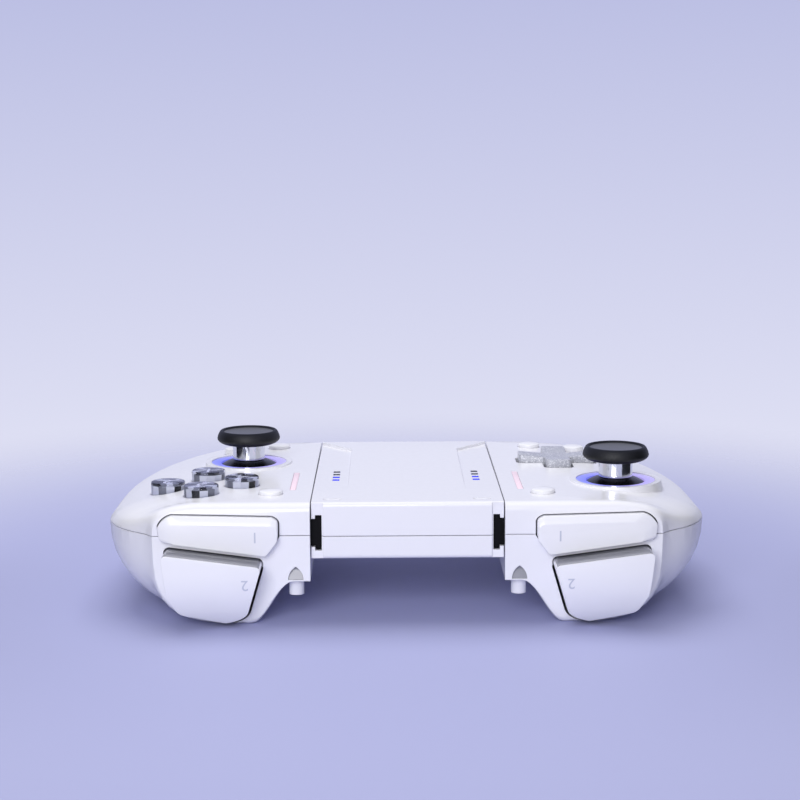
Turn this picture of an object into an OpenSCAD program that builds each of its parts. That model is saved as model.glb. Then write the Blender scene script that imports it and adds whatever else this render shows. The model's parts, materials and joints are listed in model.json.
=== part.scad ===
// Split gamepad: two grips with sticks and buttons that slide off a thin centre bridge.
// X runs across the pad, Y away from the shoulder edge and Z up, with the table at Z = 0.
// A half is drawn from its inner face outwards: u across, y back from the shoulder face, z up.

/* [Overall] */
// Width of the bridge, which is the space between the two halves
bridge_gap = 56; // [50:1:70]
// Width of one half, from its inner face to the outside of the grip
half_w = 60.5; // [59:0.5:66]
// Length of a half, from its shoulder face to its rear end
half_l = 102; // [100:1:112]
// Height of the flat top above the table
body_h = 35.5; // [35:0.5:38]

/* [Half shell] */
// Wall thickness of the shells
wall = 1.8; // [1.5:0.1:2]
// Depth of the line between the two shells below the top, where the grip is widest
seam_drop = 9.3; // [9.2:0.1:9.8]
// Open line between the two shells
seam_gap = 0.2; // [0.1:0.05:0.3]
// Height of the inner side that meets the bridge
inner_side_h = 22.75; // [21.5:0.25:23.5]
// Corner radius at the shoulder, seen from above
front_corner = 26; // [24:1:28]
// Width of the rear corner, seen from above
rear_corner_w = 18; // [14:1:22]
// Length of the rear corner, seen from above
rear_corner_l = 62; // [56:1:66]
// Width of the flat top at the shoulder
top_flat_front = 25; // [22:1:30]
// Width of the flat top at the rear
top_flat_rear = 5; // [3:1:10]
// Rounding of the top edge at both ends
edge_r = 2.5; // [2.2:0.1:3]
// Distance from the inner face to the start of the lobe under the grip
lobe_start = 5; // [4.5:0.25:6]
// Distance from the inner face to the foot of the lobe
lobe_end = 17; // [16:0.5:18]
// Width of the rounded lower outer side of the grip
grip_r = 31; // [29:0.5:33]
// Rounding of the lobe at the shoulder
lobe_round = 2; // [2:0.25:3]
// Fullness of the grip's lower outer side, where 2 is an ellipse
grip_full = 2.2; // [2:0.05:2.4]
// Length over which the tail of the grip rises
tail_l = 20; // [16:1:22]
// Rise of the tail at the rear end
tail_rise = 12; // [9:0.5:12]
// Width of the raised shoulder that holds the bumper and the trigger
shoulder_w = 45.3; // [45.2:0.1:47]
// How much the shoulder's outer side flares per length
shoulder_flare = 0.75; // [0.6:0.05:0.9]
// How square the shoulder's section is, where 2 is round
shoulder_square = 3.4; // [3:0.1:3.8]
// Length over which the shoulder's square section turns round
shoulder_l = 8; // [7:0.5:10]

/* [Slide rail] */
// Depth of the rail's middle below the top
rail_drop = 8.9; // [8.5:0.1:9.3]
// Height of the rail's head
rail_h = 10; // [9:0.1:10.4]
// Thickness of the rail's head
rail_head_t = 1.45; // [1.2:0.05:1.7]
// Height of the rail's neck
rail_neck_h = 7.8; // [6.5:0.1:8.2]
// Length of the rail's neck, out from the half
rail_neck_t = 1.6; // [1.5:0.05:2]
// Distance from the shoulder face to the rail
rail_start = 2.5; // [1.5:0.5:5]
// Room round the rail's head in its channel
rail_clear = 0.2; // [0.15:0.05:0.3]
// Gap between the bridge and a half
lip_gap = 0.3; // [0.2:0.05:0.4]
// Places of the rail screws from the shoulder face, nearer and further
rail_screw_near = 30; // [26:1:40]
rail_screw_far = 75; // [64:1:80]

/* [Bridge] */
// Thickness of the bridge
bridge_h = 16.5; // [15:0.1:17]
// How far the bridge's ends stand back from the halves' ends
bridge_setback = 1; // [0.5:0.25:2]
// Depth of the line between the bridge's covers below the top
bridge_seam_drop = 9.8; // [9.4:0.1:10.2]
// Wall thickness of the bridge
bridge_wall = 1.8; // [1.5:0.1:2]
// Rounding of the bridge's end edges
bridge_edge = 1.2; // [0.6:0.1:1.5]
// Thickness of the closed end of the rail channel
channel_stop = 4; // [3:0.5:8]
// Width of the charging socket
socket_w = 9; // [8.4:0.1:10]
// Height of the charging socket
socket_h = 3.2; // [3:0.1:3.4]
// Length of the charging socket
socket_l = 7.4; // [6.5:0.1:9]
// Distance of the indicator rows from the middle
indicator_x = 21.4; // [18:0.1:21.5]
// First indicator from the shoulder face
indicator_start = 35; // [30:1:44]
// Step between indicators
indicator_step = 4.4; // [3.5:0.1:6]
// Width and length of one indicator window
indicator_w = 2; // [1.4:0.1:2.2]
indicator_l = 2.2; // [1:0.1:2.6]
// Middle of the contact block from the shoulder face
contact_y = 64; // [50:1:76]
// Length of the contact block
contact_l = 13; // [10:0.5:16]
// Height of the contact block
contact_h = 4.4; // [3.6:0.1:5]
// Screw places from the middle and from the bridge's ends
bridge_screw_x = 16; // [12:0.5:17]
bridge_screw_in = 17; // [12:0.5:22]

/* [Sticks] */
// Left stick, out from the inner face and back from the shoulder
left_stick_u = 35.5; // [34:0.5:36]
left_stick_y = 31.5; // [30:0.5:33]
// Right stick, out from the inner face and forward from the rear end
right_stick_u = 22; // [21:0.5:25]
right_stick_in = 38.5; // [36:0.5:40]
// Depth of the pivot below the top
pivot_drop = 8.2; // [8:0.1:8.6]
// Radius of the opening at the top
opening_r = 9; // [8.8:0.1:9.4]
// Running gap round the dome
dome_gap = 0.35; // [0.3:0.05:0.45]
// Thickness of the dome
dome_t = 1.2; // [1:0.1:1.3]
// Outer radius of the light ring
ring_r = 11.9; // [11.6:0.1:12.6]
// Thickness of the light ring
ring_t = 1.15; // [0.9:0.05:1.4]
// Top radius and base radius of the raised collar round the ring
collar_r = 13.7; // [13.5:0.1:14.2]
collar_base_r = 14.9; // [14.6:0.1:15.4]
// Height of the collar above the top
collar_rise = 0.5; // [0.3:0.1:0.7]
// Radius of the rubber cap
cap_r = 10; // [9:0.1:10.2]
// Height of the cap's rim above the top
cap_top = 10.7; // [10.4:0.1:12]
// Thickness of the cap at its rim
cap_t = 5; // [4.4:0.1:5.1]
// Depth of the cap's dish
cap_dish = 1.3; // [0.8:0.1:1.8]
// Radius of the metal sleeve
sleeve_r = 5.1; // [4.6:0.1:5.3]
// Radius of the post inside the sleeve
post_r = 4.1; // [3.6:0.1:4.3]
// Half length of the carriage, across and along
carriage_u = 7; // [6.8:0.1:7.2]
carriage_y = 6.4; // [6.2:0.1:6.6]
// Half size of the yoke
yoke_half = 5; // [4.8:0.1:5.1]
// Radius of the stick's pivot pins
stick_pin_r = 1; // [0.8:0.05:1.1]

/* [Small buttons] */
// Radius of a round button
round_r = 3.5; // [3.4:0.1:4]
// Height of a round button above the top
round_rise = 1.4; // [0.8:0.1:1.6]
// Travel of a round button
round_travel = 0.6; // [0.4:0.05:0.8]
// Front button, out from the inner face and back from the shoulder
front_button_u = 12; // [11.5:0.5:13]
front_button_y = 14.5; // [14.5:0.5:16]
// Inner rear button, out from the inner face and forward from the rear end
rear_inner_u = 13.8; // [13:0.2:15]
rear_inner_in = 12.5; // [12:0.5:13.5]
// Outer rear button, out from the inner face and forward from the rear end
rear_outer_u = 28; // [27:0.5:29]
rear_outer_in = 18; // [17:0.5:18.5]
// Running gap round a button
button_gap = 0.2; // [0.15:0.05:0.25]
// Wall of the guide round a button
guide_wall = 1.2; // [1:0.1:1.4]
// Radius of the release pin
release_r = 2.2; // [1.8:0.1:2.3]
// Release pin, out from the inner face and back from the shoulder
release_u = 4.2; // [4.2:0.1:4.6]
release_y = 4.6; // [4.5:0.1:5.2]
// How far the release pin stands down from the inner side
release_drop = 4.7; // [3.5:0.1:5.5]
// Travel of the release pin
release_travel = 1.5; // [1:0.1:2]
// Light bar, out from the inner face
bar_u = 5.8; // [5.4:0.1:6]
// First and last point of the light bar from the shoulder
bar_start = 19.5; // [17:0.5:20]
bar_end = 46; // [40:0.5:48]
// Width of the light bar
bar_w = 1.7; // [1.4:0.1:2]
// Button under the grip: its edges out from the inner face and back from the shoulder
back_button_in = 39; // [38:0.5:42]
back_button_out = 52; // [50:0.5:53]
back_button_near = 26; // [22:1:30]
back_button_far = 48; // [42:1:50]
// Travel of the button under the grip
back_travel = 0.8; // [0.5:0.1:1]

/* [Face buttons] */
// Middle of the four face buttons
face_u = 32.5; // [32:0.5:33.5]
face_y = 27; // [26.5:0.5:28]
// Distance of each face button from that middle
face_reach = 11.1; // [11:0.1:12]
// Radius of a face button
face_r = 5.1; // [4.8:0.1:5.5]
// Height of a face button above the crowned top
face_rise = 2.8; // [2.2:0.1:3.6]
// Travel of a face button
face_travel = 1.2; // [0.8:0.1:1.5]

/* [Direction pad] */
// Middle of the direction pad, out from the inner face and forward from the rear end
dpad_u = 20.5; // [20:0.5:22]
dpad_in = 37.5; // [35:0.5:38]
// Length of one arm from the middle
dpad_arm = 12; // [11:0.25:12.5]
// Half width of an arm
dpad_half_w = 3.85; // [3.4:0.05:4]
// Height of the pad above the top
dpad_rise = 2.5; // [2:0.1:3]
// Depth of the pad's pivot below the top
dpad_pivot_drop = 6; // [5.8:0.1:6.4]
// Room round the pad in its opening
dpad_clear = 0.85; // [0.8:0.05:1]

/* [Bumper and trigger] */
// Inner and outer edge of the bumper
bumper_in = 9.1; // [8.8:0.1:9.6]
bumper_out = 43.9; // [42:0.1:44]
// Depth of the bumper's top edge below the top, at its inner and outer end
bumper_top_in = 3.8; // [3.4:0.1:4.6]
bumper_top_out = 3; // [2.6:0.1:4]
// Depth of the bumper's lower edge below the top, at its inner and outer end
bumper_low_in = 14.9; // [14.4:0.1:15.2]
bumper_low_out = 10.3; // [10:0.1:10.8]
// How far the bumper stands out from the shoulder face
bumper_reach = 3; // [2:0.1:4]
// Depth of the bumper behind the shoulder face
bumper_depth = 3; // [2.5:0.1:3.2]
// Running gap round the bumper
bumper_gap = 0.35; // [0.3:0.05:0.4]
// Bumper pin, out from the inner face and back from the shoulder
bumper_pin_u = 11.4; // [11.2:0.1:11.8]
bumper_pin_y = 7.2; // [7:0.1:7.2]
// Distance between the bumper and the trigger
trigger_line = 1.6; // [1.4:0.05:1.8]
// Inner and outer edge of the trigger at its top
trigger_in = 13.5; // [13.3:0.1:14.2]
trigger_out = 42; // [41:0.1:42.4]
// Height of the trigger's toe above the table
trigger_toe = 1.3; // [1.2:0.1:2]
// How far the trigger stands out from the shoulder face
trigger_reach = 9.5; // [8:0.25:11]
// Running gap round the trigger
trigger_gap = 0.35; // [0.3:0.05:0.4]
// Room under the trigger for the dip of its toe when it is pulled
trigger_room = 1.2; // [1:0.1:1.5]
// Trigger pivot, back from the shoulder and down from the top
trigger_pivot_y = 3.4; // [3.3:0.1:3.6]
trigger_pivot_drop = 18.2; // [18.1:0.1:18.8]
// Radius of the bumper's and the trigger's pivot pins
pin_r = 1.2; // [1:0.05:1.25]
// Wire thickness and number of turns of the trigger spring
spring_wire = 0.5; // [0.4:0.05:0.5]
spring_turns = 2; // [1.5:0.5:2]

/* [Insides] */
// Depth of the circuit board's upper face below the top
board_drop = 14; // [13.8:0.1:14.2]
// Thickness of the circuit board
board_t = 1.2; // [1:0.1:1.6]
// Edges of the circuit board, out from the inner face: inner edge, wide part and narrow part
board_in = 9; // [8.5:0.25:9.5]
board_wide = 50; // [48:0.5:50]
board_narrow = 44.5; // [43:0.5:45]
// Front edge of the circuit board and the end of its wide part, back from the shoulder
board_front = 9.5; // [9:0.25:10]
board_bend = 46; // [45:0.5:47]
// Rear edge of the circuit board, forward from the rear end
board_rear_in = 10; // [9:0.5:12]
// Rows of board posts, out from the inner face
post_in_u = 12; // [11.5:0.25:12.5]
post_out_u = 40.5; // [40:0.25:41.5]
// Front posts, back from the shoulder, in the inner and the outer row
post_in_front = 30; // [29:0.5:32]
post_out_front = 47; // [46.5:0.25:48]
// Rear posts, forward from the rear end, in the inner and the outer row
post_in_rear = 26; // [25:0.5:27]
post_out_rear = 22; // [21:0.5:23]
// Case screws beside the rail, out from the inner face, back from the shoulder and forward from the rear end
case_u = 5.2; // [5:0.1:5.4]
case_front = 54; // [52:0.5:56]
case_rear = 9; // [8:0.5:10]
// Case screw in the grip, out from the inner face and forward from the rear end
case_grip_u = 49; // [48:0.5:50]
case_grip_in = 40; // [38:0.5:42]
// Battery length, width and height
battery_l = 38; // [30:1:39]
battery_w = 12; // [10:0.5:12]
battery_h = 9; // [6:0.5:10]
// Radius of a screw's shank
screw_r = 0.9; // [0.7:0.05:1]
// Radius and thickness of a screw's head
head_r = 1.9; // [1.6:0.1:2]
head_t = 1.2; // [1:0.1:1.4]
// Radius of a screw boss
boss_r = 2.6; // [2.4:0.1:2.8]
// Running clearance of a pivot pin in its bore
pin_clear = 0.05; // [0.03:0.01:0.08]
// Fit between pieces that are set into each other
fit = 0.05; // [0.03:0.01:0.1]

/* [Hidden] */
$fn = 64;
left = 0;
right = 1;
past = 1;
shell_white = "#ECEDF5";
black = "#1B1C1E";
chrome = "#C9CBD2";
pearl = "#B2B4C0";
crystal = "#DDE3EE";
lilac = "#A9A6FF";
rose = "#F6D3E6";
board_green = "#2C5B46";
steel = "#8E9196";
copper = "#C98F4E";

y_mid = (half_l - trigger_reach) / 2;
inner_floor = body_h - inner_side_h;
seam_z = body_h - seam_drop;
lower_top = seam_z - seam_gap / 2;
upper_bottom = seam_z + seam_gap / 2;
roof = body_h - wall;
rail_z = body_h - rail_drop;
board_top = body_h - board_drop;
board_bottom = board_top - board_t;

bridge_bottom = body_h - bridge_h;
bridge_seam = body_h - bridge_seam_drop;
bridge_front = bridge_setback;
bridge_back = half_l - bridge_setback;
bridge_half = bridge_gap / 2;
hook_out = bridge_half - lip_gap;
hook_in = bridge_half - rail_neck_t + rail_clear;
web_out = bridge_half - rail_neck_t - rail_head_t - rail_clear - fit;
web_in = web_out - bridge_wall;
channel_end = bridge_back - channel_stop;
rail_end = channel_end - rail_clear * 2;
bridge_board_z = bridge_bottom + bridge_wall + 1;
bridge_board_top = bridge_board_z + board_t;
socket_z = bridge_board_top + socket_h / 2;
bridge_screw_at = [for (x = [-1, 1]) for (y = [bridge_front + bridge_screw_in, bridge_back - bridge_screw_in])
    [x * bridge_screw_x, y]];
indicator_y = [for (k = [0:3]) indicator_start + k * indicator_step];

stick_at = [[left_stick_u, left_stick_y], [right_stick_u, half_l - right_stick_in]];
pivot_z = body_h - pivot_drop;
dome_seat = sqrt(pow(opening_r, 2) + pow(pivot_drop, 2));
dome_r = dome_seat - dome_gap;
dome_rim = dome_r * cos(70);
carriage_wall = 1.6;
carriage_half_h = 1.8;
yoke_wall = 1.6;
yoke_half_h = 1.5;
slide_clear = 0.2;
housing_wall = 1.1;
housing_top = pivot_z - carriage_half_h + 0.6;
housing_floor = 1;
plug_r = 2.5;
plug_h = 2;
cap_bottom = body_h + cap_top - cap_t;

guide_bottom = body_h - 5.5;
flange_t = 1;
flange_gap = 0.2;
flange_top = guide_bottom - flange_gap;
round_flange_r = round_r + button_gap + 0.9;
face_flange_r = face_r + button_gap + 0.9;
switch_half = 2.6;
switch_top = board_top + 2.6;
stop_gap = 0.1;
membrane_t = 0.8;
round_at = [
    [front_button_u, front_button_y],
    [rear_inner_u, half_l - rear_inner_in],
    [rear_outer_u, half_l - rear_outer_in]
];
face_at = [for (k = [0:3]) [face_u + face_reach * sin(90 * k), face_y + face_reach * cos(90 * k)]];

dpad_y = half_l - dpad_in;
dpad_pivot_z = body_h - dpad_pivot_drop;
dpad_bottom = body_h - 3.5;
hub_r = 2.6;
gimbal_half = 4.9;
gimbal_inner = 3.4;
gimbal_half_h = 1.4;
upright_in = 5.3;
upright_out = 7.3;

trigger_pivot_z = body_h - trigger_pivot_drop;
bumper_slope = (bumper_low_in - bumper_low_out) / (bumper_out - bumper_in);
barrel_r = 2;
lug_t = 2;
inner_lug = trigger_in - 3.7;
outer_lug = trigger_out + 1;
coil_r = pin_r + 0.7;
battery_low = wall + 0.9;
battery_u = lobe_end + wall;
battery_y = half_l - tail_l - battery_l;

post_at = [
    [post_in_u, post_in_front],
    [post_in_u, half_l - post_in_rear],
    [post_out_u, post_out_front],
    [post_out_u, half_l - post_out_rear]
];
case_at = [[case_u, case_front], [case_u, half_l - case_rear], [case_grip_u, half_l - case_grip_in]];
case_head = [inner_floor + head_t, inner_floor + head_t,
    under_z(case_at[2][0] + head_r, case_at[2][1]) + head_t + 0.3];
screw_grip = 5;

// Puts a half's own frame into the pad's frame, mirrored for the right half
module place(side) {
    translate([0, -y_mid, 0])
        mirror([side, 0, 0])
            translate([bridge_half, 0, 0])
                children();
}

// Puts the bridge's own frame, centred across the pad, into the pad's frame
module place_bridge() {
    translate([0, -y_mid, 0])
        children();
}

// A box between two opposite corners
module block(low, high) {
    translate(low)
        cube(high - low);
}

// A 2D outline in (y, z) drawn out along X
module prism_x(x0, x1) {
    translate([x0, 0, 0])
        rotate([90, 0, 90])
            linear_extrude(x1 - x0)
                children();
}

// A 2D outline in (x, z) drawn out along Y
module prism_y(y0, y1) {
    translate([0, y1, 0])
        rotate([90, 0, 0])
            linear_extrude(y1 - y0)
                children();
}

// A round bar along X
module bar_x(x0, x1, r) {
    translate([x0, 0, 0])
        rotate([0, 90, 0])
            cylinder(h = x1 - x0, r = r);
}

// A round bar along Y
module bar_y(y0, y1, r) {
    translate([0, y0, 0])
        rotate([-90, 0, 0])
            cylinder(h = y1 - y0, r = r);
}

// A round bar along Z at a place (u, y)
module bar_z(at, z0, z1, r) {
    translate([at[0], at[1], z0])
        cylinder(h = z1 - z0, r = r);
}

// A frame with a rectangular hole, centred on the origin
module ring_frame(outer_u, outer_y, inner_u, inner_y, half_h) {
    difference() {
        block([-outer_u, -outer_y, -half_h], [outer_u, outer_y, half_h]);
        block([-inner_u, -inner_y, -half_h - past], [inner_u, inner_y, half_h + past]);
    }
}

// Drop of a quarter ellipse of half axes a and b, at a distance d from its flat
function ellipse_drop(d, a, b) = b * (1 - sqrt(max(0, 1 - pow(d / a, 2))));

// An S-curve from 0 to 1
function smooth(t) = let(c = max(0, min(1, t))) c * c * (3 - 2 * c);

// Outer edge of the half at y, drawn in by the inset i: the shoulder's flank, then the grip
function outline_u(y, i) = max(min(half_w - i, shoulder_w - i + shoulder_flare * (y - i)), half_w - i
    - ellipse_drop(max(0, front_corner - y), front_corner - i, front_corner - i))
    - ellipse_drop(max(0, y - half_l + rear_corner_l), rear_corner_l - i, rear_corner_w - i);

// Power of the section's rounding at y, which is square at the shoulder and an ellipse behind it
function round_power(y) = 2 / (2 + (shoulder_square - 2) * (1 - smooth(y / shoulder_l)));

// Height of the top at y, drawn in by the inset i
function top_z(y, i) = let(r = max(0.2, edge_r - i)) body_h - i
    - ellipse_drop(max(0, min(r, edge_r - y)), r, r)
    - ellipse_drop(max(0, min(r, y - half_l + edge_r)), r, r);

// Height of the grip's underside at y, drawn in by the inset i
function bottom_z(y, i) = let(r = max(0.2, lobe_round - i)) i
    + ellipse_drop(max(0, min(r, lobe_round - y)), r, r)
    + ellipse_drop(max(0, y - half_l + tail_l), tail_l - i, tail_rise - i);

// Height of the grip's rounded outer underside at a place (u, y) behind the shoulder
function under_z(u, y) = let(bottom = bottom_z(y, 0)) bottom
    + (seam_z - bottom) * (1 - pow(1 - pow(min(1, max(0, u - outline_u(y, 0) + grip_r) / grip_r),
        grip_full), 1 / grip_full));

// Width of the flat top at y, which narrows towards the rear
function flat_u(y) = let(mid = half_l / 2)
    top_flat_front + (top_flat_rear - top_flat_front) * smooth((y - mid) / (half_l - mid));

// Height of the crowned top at a place (u, y) between the rounded ends
function crown_z(u, y) = let(flat = flat_u(y))
    body_h - ellipse_drop(max(0, u - flat), outline_u(y, 0) - flat, seam_drop);

// Stations along y: close together at both rounded ends
function stations(i, ends) = let(straight = half_l - rear_corner_l - front_corner) concat(
    [for (k = [0:ends]) i + (front_corner - i) * (1 - cos(90 * k / ends))],
    [front_corner + straight / 3, front_corner + straight * 2 / 3],
    [for (k = [ends:-1:0]) half_l - i - (rear_corner_l - i) * (1 - cos(90 * k / ends))]
);

// Cross-section at y: inner side, flat top, rounded outer side, underside and lobe
function section(y, i, arc) = let(
    out = outline_u(y, i),
    top = top_z(y, i),
    bottom = bottom_z(y, i),
    side_floor = inner_floor + i,
    flat = flat_u(y),
    p = round_power(y),
    low_p = min(p, 2 / grip_full),
    low_r = min(grip_r - i, out - lobe_end - i - 1)
) concat(
    [[i, side_floor], [i, top]],
    [for (k = [0:arc]) let(a = 90 * k / arc)
        [flat + (out - flat) * pow(sin(a), p), seam_z + (top - seam_z) * pow(cos(a), p)]],
    [for (k = [1:arc]) let(a = 90 * k / arc)
        [out - low_r + low_r * pow(cos(a), low_p), seam_z - (seam_z - bottom) * pow(sin(a), low_p)]],
    [for (k = [0:arc]) let(t = k / arc)
        [lobe_end + i + (lobe_start - lobe_end) * t, bottom + (side_floor - bottom) * smooth(t)]]
);

// The solid form of a half, drawn in by the inset i
module half_form(i, arc, ends) {
    ys = stations(i, ends);
    rings = [for (y = ys) section(y, i, arc)];
    n = len(rings[0]);
    m = len(ys);
    points = concat(
        [for (j = [0:m - 1]) for (p = rings[j]) [p[0], ys[j], p[1]]],
        [[lobe_end, ys[0], seam_z], [lobe_end, ys[m - 1], seam_z]]
    );
    faces = concat(
        [for (k = [0:n - 1]) [m * n, k, (k + 1) % n]],
        [for (k = [0:n - 1]) [m * n + 1, (m - 1) * n + (k + 1) % n, (m - 1) * n + k]],
        [for (j = [0:m - 2]) for (k = [0:n - 1])
            [j * n + k, (j + 1) * n + k, (j + 1) * n + (k + 1) % n]],
        [for (j = [0:m - 2]) for (k = [0:n - 1])
            [j * n + k, (j + 1) * n + (k + 1) % n, j * n + (k + 1) % n]]
    );
    polyhedron(points, faces);
}

// The hollow inside the shells
module half_hollow() {
    half_form(wall, 6, 6);
}

// Bumper outline seen from the shoulder, with its corners rounded
module bumper_outline() {
    big_r = 5.4;
    small_r = 1.6;
    offset(small_r)
        offset(-small_r)
            intersection() {
                polygon([
                    [bumper_in, body_h - bumper_top_in - 1],
                    [bumper_in + 1.8, body_h - bumper_top_in],
                    [bumper_out, body_h - bumper_top_out],
                    [bumper_out - 0.9, body_h - bumper_low_out],
                    [bumper_in + 3.7, body_h - bumper_low_in],
                    [bumper_in, body_h - bumper_low_in + 5.4]
                ]);
                offset(big_r)
                    offset(-big_r)
                        translate([-half_w, body_h - bumper_low_in - big_r * 2])
                            square([half_w + bumper_out, bumper_low_in - bumper_top_out + big_r * 2]);
            }
}

// Height of the trigger's top edge at u, which runs along the bumper's lower edge
function trigger_edge(u) = body_h - bumper_low_in - trigger_line + bumper_slope * (u - bumper_in - 3.7);

// Trigger outline seen from the shoulder
module trigger_outline() {
    corner_r = 1.4;
    toe_r = 4;
    inner_top = [trigger_in, trigger_edge(trigger_in)];
    outer_top = [trigger_out, trigger_edge(trigger_out)];
    outer_low = [trigger_out - 1.5, trigger_toe + 8.7];
    inner_low = [trigger_in + 4.4, trigger_toe + 2.8];
    toe = [
        outer_low,
        [trigger_out - 4.6, trigger_toe + 3.2],
        [trigger_in + 10.5, trigger_toe],
        [trigger_in + 6.9, trigger_toe + 1.2],
        inner_low
    ];
    intersection() {
        offset(corner_r)
            offset(-corner_r)
                polygon(concat([inner_top, outer_top], toe));
        offset(toe_r)
            offset(-toe_r)
                polygon(concat([2 * inner_top - inner_low, 2 * outer_top - outer_low], toe));
    }
}

// Trigger profile in (y, z): a ledge on top and a face that curves back to the toe
module trigger_profile() {
    top = trigger_edge(trigger_out) + past;
    toe_y = -3.4;
    steps = 12;
    polygon(concat(
        [[trigger_pivot_y, top], [-trigger_reach, top]],
        [for (k = [0:steps]) let(t = k / steps)
            [-trigger_reach + (trigger_reach + toe_y) * t * t,
             trigger_pivot_z + (trigger_toe - trigger_pivot_z) * t]],
        [[toe_y + 1.8, trigger_toe + 0.9], [trigger_pivot_y - 1.6, trigger_toe + 6.8]],
        [[trigger_pivot_y, trigger_pivot_z - 2]]
    ));
}

// The opening in the shoulder face for the bumper and the trigger
module shoulder_opening() {
    bumper_room = bumper_depth + 1.8;
    prism_y(-trigger_reach, bumper_room)
        offset(delta = bumper_gap)
            bumper_outline();
    for (drop = [0, trigger_room])
        translate([0, 0, -drop])
            prism_y(-trigger_reach, trigger_pivot_y + barrel_r + trigger_gap)
                offset(delta = trigger_gap)
                    trigger_outline();
}

// Cross outline of the direction pad, grown by a gap
module cross_outline(gap) {
    round_r = 1;
    offset(delta = gap)
        offset(round_r)
            offset(-round_r)
                for (turn = [0, 90])
                    rotate(turn)
                        square([dpad_arm, dpad_half_w] * 2, center = true);
}

// Bosses inside the top shell: button guides, board posts, screw bosses and the bumper's boss
module top_bosses(side) {
    bar_z(stick_at[side], body_h - 3.2, body_h, collar_base_r);
    for (at = round_at)
        bar_z(at, guide_bottom, body_h, round_r + button_gap + guide_wall);
    if (side == right)
        for (at = face_at)
            bar_z(at, guide_bottom, body_h, face_r + button_gap + guide_wall);
    for (at = post_at)
        bar_z(at, board_top, body_h, boss_r);
    for (at = case_at)
        bar_z(at, lower_top, body_h, boss_r);
    bar_z([bumper_pin_u, bumper_pin_y], body_h - 4.9, body_h, pin_r + pin_clear + guide_wall);
}

// Openings in the top shell
module top_openings(side) {
    deep = body_h - 8;
    high = body_h + collar_rise + past;
    translate([stick_at[side][0], stick_at[side][1], pivot_z])
        sphere(dome_seat, $fn = 96);
    bar_z(stick_at[side], body_h + fit - ring_t, high, ring_r + fit);
    for (at = round_at)
        bar_z(at, deep, high, round_r + button_gap);
    if (side == right)
        for (at = face_at)
            bar_z(at, deep, high, face_r + button_gap);
    if (side == left)
        translate([dpad_u, dpad_y, deep])
            linear_extrude(high - deep)
                cross_outline(dpad_clear);
    block([bar_u - bar_w / 2 - fit, bar_start - fit, roof - past],
        [bar_u + bar_w / 2 + fit, bar_end + fit, high]);
    shoulder_opening();
    for (at = post_at)
        bar_z(at, board_top - past, board_top + screw_grip + fit, screw_r + fit);
    for (at = case_at)
        bar_z(at, lower_top - past, seam_z + screw_grip + fit, screw_r + fit);
    bar_z([bumper_pin_u, bumper_pin_y], deep, body_h - 2, pin_r + pin_clear);
    for (y = [rail_screw_near, rail_screw_far])
        translate([0, y, rail_z + 1.7])
            bar_x(-past, wall + past, screw_r + fit);
}

module top_shell(side) {
    color(shell_white)
        place(side)
            difference() {
                union() {
                    intersection() {
                        half_form(0, 10, 10);
                        block([-past, -past, upper_bottom], [half_w + past, half_l + past, body_h + past]);
                    }
                    translate([stick_at[side][0], stick_at[side][1], body_h - 4])
                        cylinder(h = 4 + collar_rise, r1 = collar_base_r, r2 = collar_r);
                    for (at = case_at)
                        bar_z(at, lower_top, upper_bottom + past, boss_r);
                }
                difference() {
                    half_hollow();
                    top_bosses(side);
                }
                top_openings(side);
            }
}

// Bosses inside the bottom shell: screw bosses, the trigger's two lugs and the battery's ribs
module bottom_bosses() {
    lug_top = trigger_pivot_z + 2.4;
    lug_back = trigger_pivot_y + 2.6;
    for (at = case_at)
        bar_z(at, 0, lower_top, boss_r);
    for (u = [inner_lug, outer_lug])
        block([u, 0, 0], [u + lug_t, lug_back, lug_top]);
    for (y = [battery_y + 4, battery_y + battery_l - 6])
        block([battery_u, y, 0], [battery_u + battery_w, y + 2, battery_low - fit]);
}

// Openings in the bottom shell
module bottom_openings() {
    arch_w = 4.4;
    arch_r = 4.5;
    arch_base = inner_floor + 0.4;
    coil_room = coil_r + spring_wire / 2 + 0.2;
    shoulder_opening();
    translate([0, trigger_pivot_y, trigger_pivot_z]) {
        bar_x(inner_lug - past, outer_lug + lug_t + past, pin_r + pin_clear);
        bar_x(inner_lug + lug_t, trigger_in + 1, coil_room);
    }
    bar_z([release_u, release_y], inner_floor - past, inner_floor + wall + past, release_r + button_gap);
    intersection() {
        prism_y(-past, wall)
            translate([release_u, arch_base])
                intersection() {
                    translate([arch_r - arch_w / 2, 0])
                        circle(arch_r);
                    translate([arch_w / 2 - arch_r, 0])
                        circle(arch_r);
                    translate([-arch_r, 0])
                        square(arch_r * 2);
                }
        prism_x(release_u - arch_w, release_u + arch_w)
            polygon([
                [-past, arch_base - past],
                [0.2, arch_base - past],
                [0.2, arch_base],
                [wall - 0.5, arch_base + arch_r * 0.6],
                [wall - 0.5, arch_base + arch_r],
                [-past, arch_base + arch_r]
            ]);
    }
    back_opening(button_gap + 0.3, -past);
    for (k = [0:2]) {
        bar_z(case_at[k], -past, case_head[k], head_r + fit);
        bar_z(case_at[k], 0, lower_top + past, screw_r + fit);
    }
}

// The place of the button under the grip, grown by a gap
module back_opening(gap, z0) {
    block([back_button_in - gap, back_button_near - gap, z0],
        [back_button_out + gap, back_button_far + gap, seam_z / 2]);
}

module bottom_shell(side) {
    color(shell_white)
        place(side)
            difference() {
                intersection() {
                    half_form(0, 10, 10);
                    block([-past, -past, -past], [half_w + past, half_l + past, lower_top]);
                }
                difference() {
                    half_hollow();
                    bottom_bosses();
                }
                bottom_openings();
            }
}

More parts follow.
